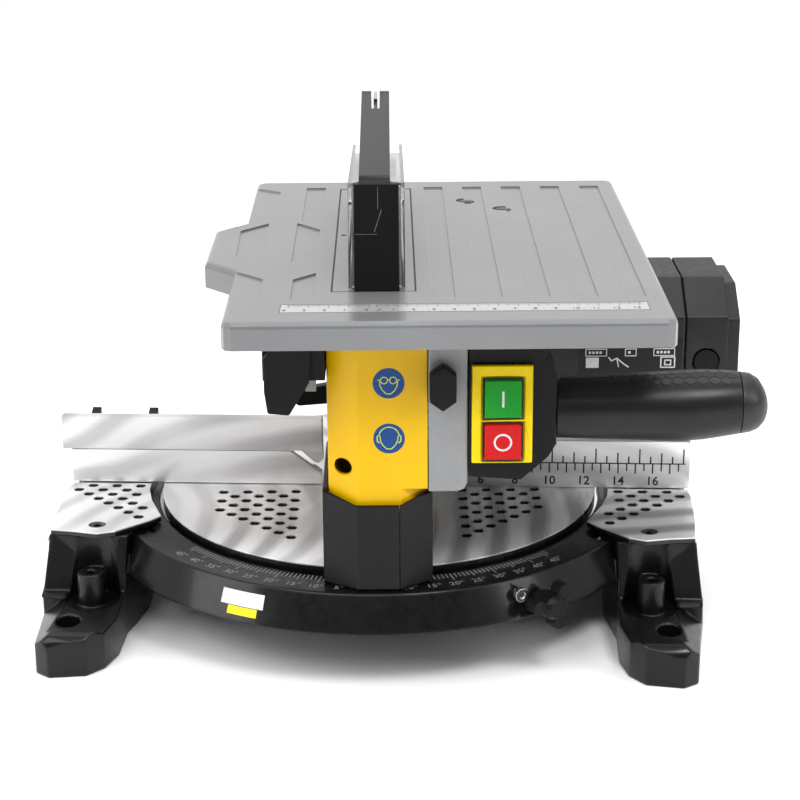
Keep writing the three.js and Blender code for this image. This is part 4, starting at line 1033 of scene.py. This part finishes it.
def wall_patch(low, high, start, end):
    """A thin patch on the front wall, between two heights and two angles in degrees about the pivot."""
    centre = (BASE.inverted() @ Vector(JOINTS["mitre_swivel"]["pos_m"])) / MM
    bottom = wall_radius(low)
    top = wall_radius(high)
    section = ((bottom, low), (top, high), (top + PATCH_THICK, high), (bottom + PATCH_THICK, low))
    bm = bmesh.new()
    rows = []
    for i in range(PATCH_STEPS + 1):
        a = math.radians(start + (end - start) * i / PATCH_STEPS)
        points = [(centre.x + r * math.cos(a), centre.y + r * math.sin(a), z) for r, z in section]
        rows.append([bm.verts.new(point) for point in points])
    skin(bm, rows)
    return bm


def wall_label():
    """A plain two-tone label on the front-left of the base's wall."""
    upper = wall_patch(-16.2, -9.0, -119.0, -109.6)
    lower = wall_patch(-20.6, -16.6, -117.2, -110.8)
    add_piece("wall_label_upper", upper, BASE, "base", WHITE_INK)
    add_piece("wall_label_lower", lower, BASE, "base", YELLOW_LABEL)


# ---------------------------------------------------------------- grip

HEX_PITCH = 6.3  # between neighbouring scales along the grip
HEX_ROW = 14.0  # degrees between rows round the grip
HEX_LONG = 0.545  # half a scale's length as a share of the pitch
HEX_WIDE = 0.62  # half a scale's width as a share of the row
SCALE_LIFT = 0.3
SCALE_LAYERS = ((1.0, -0.25), (1.0, SCALE_LIFT * 0.6), (0.8, SCALE_LIFT))  # size and lift of each
SCALES_FROM = 76  # degrees up from the grip's front down to which the scales reach, at its ends
SCALES_DIP = 24  # how much further down they reach towards its outer end
OUTSIDE_GRIP = 40  # a distance from the grip's axis that is clear of its surface
SEAM_STEPS = 40
SEAM_SECTION = ((-0.5, -0.1), (-0.5, 0.06), (0.5, 0.06), (0.5, -0.1))  # degrees round the grip, and lift


def grip_tree():
    """The grip's surface in SAW millimetres, ready to be hit by rays."""
    source = bmesh.new()
    source.from_mesh(NODES["grip"].data)
    source.transform(Matrix.Scale(1 / MM, 4) @ SAW.inverted())
    tree = BVHTree.FromBMesh(source)
    source.free()
    return tree


def on_grip(tree, x, swing, lift):
    """The point of the grip at x and at an angle up from its front, lifted off its surface."""
    low, high = local_box("grip", SAW)
    axis = Vector((x, (low.y + high.y) / 2, (low.z + high.z) / 2))
    out = Vector((0, -math.cos(swing), math.sin(swing)))
    hit = tree.ray_cast(axis + out * OUTSIDE_GRIP, -out)[0]
    return None if hit is None else hit + out * lift


def grip_scales(tree):
    """Low rubber scales over the top of the grip, reaching further down its front at the outer end."""
    low, high = local_box("grip", SAW)
    bm = bmesh.new()
    count = int((high.x - low.x - 8) // HEX_PITCH)
    for row in range(-3, 6):
        swing = 90 + row * HEX_ROW
        for i in range(count + 1):
            x = low.x + 5 + (i + (row % 2) / 2) * HEX_PITCH
            share = (x - low.x) / (high.x - low.x)
            lowest = SCALES_FROM - SCALES_DIP * math.sin(math.pi * min(1.0, max(0.0, share - 0.25)))
            if swing > lowest and x < high.x - 4:
                scale(bm, tree, x, math.radians(swing))
    add_piece("grip_scales", bm, SAW, "head", SPECIAL["grip"], 0.12)


def scale(bm, tree, x, swing):
    """One scale: a pointed hexagon laid on the grip."""
    corners = [math.radians(30 + 60 * k) for k in range(6)]
    layers = []
    for grow, lift in SCALE_LAYERS:
        points = []
        for a in corners:
            across = swing + math.radians(HEX_ROW) * HEX_WIDE * grow * math.sin(a)
            point = on_grip(tree, x + HEX_PITCH * HEX_LONG * grow * math.cos(a), across, lift)
            if point is None:
                return
            points.append(point)
        layers.append([bm.verts.new(point) for point in points])
    for lower, upper in zip(layers, layers[1:]):
        for k in range(6):
            n = (k + 1) % 6
            bm.faces.new((lower[k], lower[n], upper[n], upper[k]))
    bm.faces.new(layers[-1])
    bm.faces.new(list(reversed(layers[0])))


def grip_seam(tree):
    """The fine mould line along the grip's front, a raised strip drawn darker than the rubber as painted shade
    along it.
    """
    low, high = local_box("grip", SAW)
    bm = bmesh.new()
    rows = []
    for i in range(SEAM_STEPS + 1):
        x = low.x + 1 + (high.x - low.x - 2) * i / SEAM_STEPS
        points = [on_grip(tree, x, math.radians(swing), lift) for swing, lift in SEAM_SECTION]
        rows.append([bm.verts.new(point) for point in points])
    skin(bm, rows)
    add_piece("grip_seam", bm, SAW, "head", SHADOW_INK)


# ---------------------------------------------------------------- studio

FLOOR_HALF = 30  # metres
FLOOR_GAP = 0.0002  # metres between the floor and the feet
SUN_POWER = 1.45
SUN_SPREAD = 38  # degrees
SUN_TILT = (34, -14)  # degrees about X and Y
# Each panel's place from the saw's middle and its width and height, in metres, and its power in watts.
PANELS = (
    ("left_panel", (-1.3, -0.7, 0.6), (0.8, 1.2), 13),
    ("right_panel", (1.3, -0.7, 0.7), (0.5, 0.8), 7),
    ("front_panel", (0.5, -1.0, 1.3), (0.4, 0.4), 12),
    ("top_panel", (0.1, 0.4, 1.7), (1.6, 0.9), 12),
)


def studio():
    """A pale floor, a soft sun, four panels that show as soft reflections, and the sky."""
    low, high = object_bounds()
    middle = (low + high) / 2
    add_floor(middle, low.z)
    add_sun()
    for name, spot, size, power in PANELS:
        lamp = bpy.data.lights.new(name, "AREA")
        lamp.shape = "RECTANGLE"
        lamp.size, lamp.size_y = size
        lamp.energy = power
        holder = new_object(name, lamp)
        holder.location = middle + Vector(spot)
        holder.rotation_euler = (middle - holder.location).to_track_quat("-Z", "Y").to_euler()
    sky()


def add_floor(middle, height):
    """A wide flat floor just under the feet."""
    bm = bmesh.new()
    bmesh.ops.create_grid(bm, x_segments=8, y_segments=8, size=FLOOR_HALF)
    mesh = bpy.data.meshes.new("studio_floor")
    bm.to_mesh(mesh)
    bm.free()
    mesh.materials.append(floor_finish())
    floor = new_object("studio_floor", mesh)
    floor.location = (middle.x, middle.y, height - FLOOR_GAP)
    floor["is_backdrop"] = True


def add_sun():
    """A broad sun from above, on the user's side and a little to the left."""
    sun = bpy.data.lights.new("soft_sun", "SUN")
    sun.energy = SUN_POWER
    sun.angle = math.radians(SUN_SPREAD)
    tilt, lean = SUN_TILT
    new_object("soft_sun", sun).rotation_euler = (math.radians(tilt), math.radians(lean), 0)


SKY_FROM = -0.7  # directions towards the user and away, between which the sky grows from dim to full
SKY_TO = 0.5
SKY_DIM = 0.1


def sky():
    """Plain studio surroundings: white behind and above, greyer towards the user's side."""
    world = bpy.data.worlds.new("studio")
    bpy.context.scene.world = world
    world.use_nodes = True
    tree = world.node_tree
    background = tree.nodes["Background"]
    where = tree.nodes.new("ShaderNodeTexCoord")
    split = tree.nodes.new("ShaderNodeSeparateXYZ")
    tree.links.new(where.outputs["Generated"], split.inputs["Vector"])
    ramp = tree.nodes.new("ShaderNodeMapRange")
    ramp.interpolation_type = "SMOOTHSTEP"
    tree.links.new(split.outputs["Y"], ramp.inputs["Value"])
    ramp.inputs["From Min"].default_value = SKY_FROM
    ramp.inputs["From Max"].default_value = SKY_TO
    ramp.inputs["To Min"].default_value = SKY_DIM
    ramp.inputs["To Max"].default_value = 1.0
    tree.links.new(ramp.outputs["Result"], background.inputs["Strength"])
    background.inputs["Color"].default_value = (1, 1, 1, 1)


CAMERA_SPOT = (71.5, -1115.8, 429.5)  # in BASE
CAMERA_AHEAD = (-0.0529, 0.9986)  # where it looks, seen from above
CAMERA_PITCH = 18.81  # degrees down
CAMERA_ROLL = -0.428  # degrees
CAMERA_LENS = 90.62
CAMERA_SENSOR = 36


def add_camera():
    """The view from the user's side, from above the table and a little to the right."""
    camera = bpy.data.cameras.new("camera")
    camera.lens = CAMERA_LENS
    camera.sensor_width = CAMERA_SENSOR
    camera.clip_start = 0.05
    camera.clip_end = 60
    holder = new_object("camera", camera)
    pitch = math.radians(CAMERA_PITCH)
    level = Vector((*CAMERA_AHEAD, 0)).normalized()
    ahead = level * math.cos(pitch) - Vector((0, 0, math.sin(pitch)))
    aim = ahead.to_track_quat("-Z", "Y").to_matrix().to_4x4()
    roll = Matrix.Rotation(math.radians(CAMERA_ROLL), 4, "Z")
    holder.matrix_world = Matrix.Translation(BASE @ (Vector(CAMERA_SPOT) * MM)) @ aim @ roll
    bpy.context.scene.camera = holder


add_camera()
dress_frame()
fence_ruler()
table_ruler()
mitre_scale()
casing_labels()
button_frames()
button_marks()
rating_plate()
insert_gap()
hood_lines()
latch_tongue()
wall_label()
GRIP_TREE = grip_tree()
grip_scales(GRIP_TREE)
grip_seam(GRIP_TREE)
studio()
bpy.context.scene.view_settings.view_transform = "Standard"
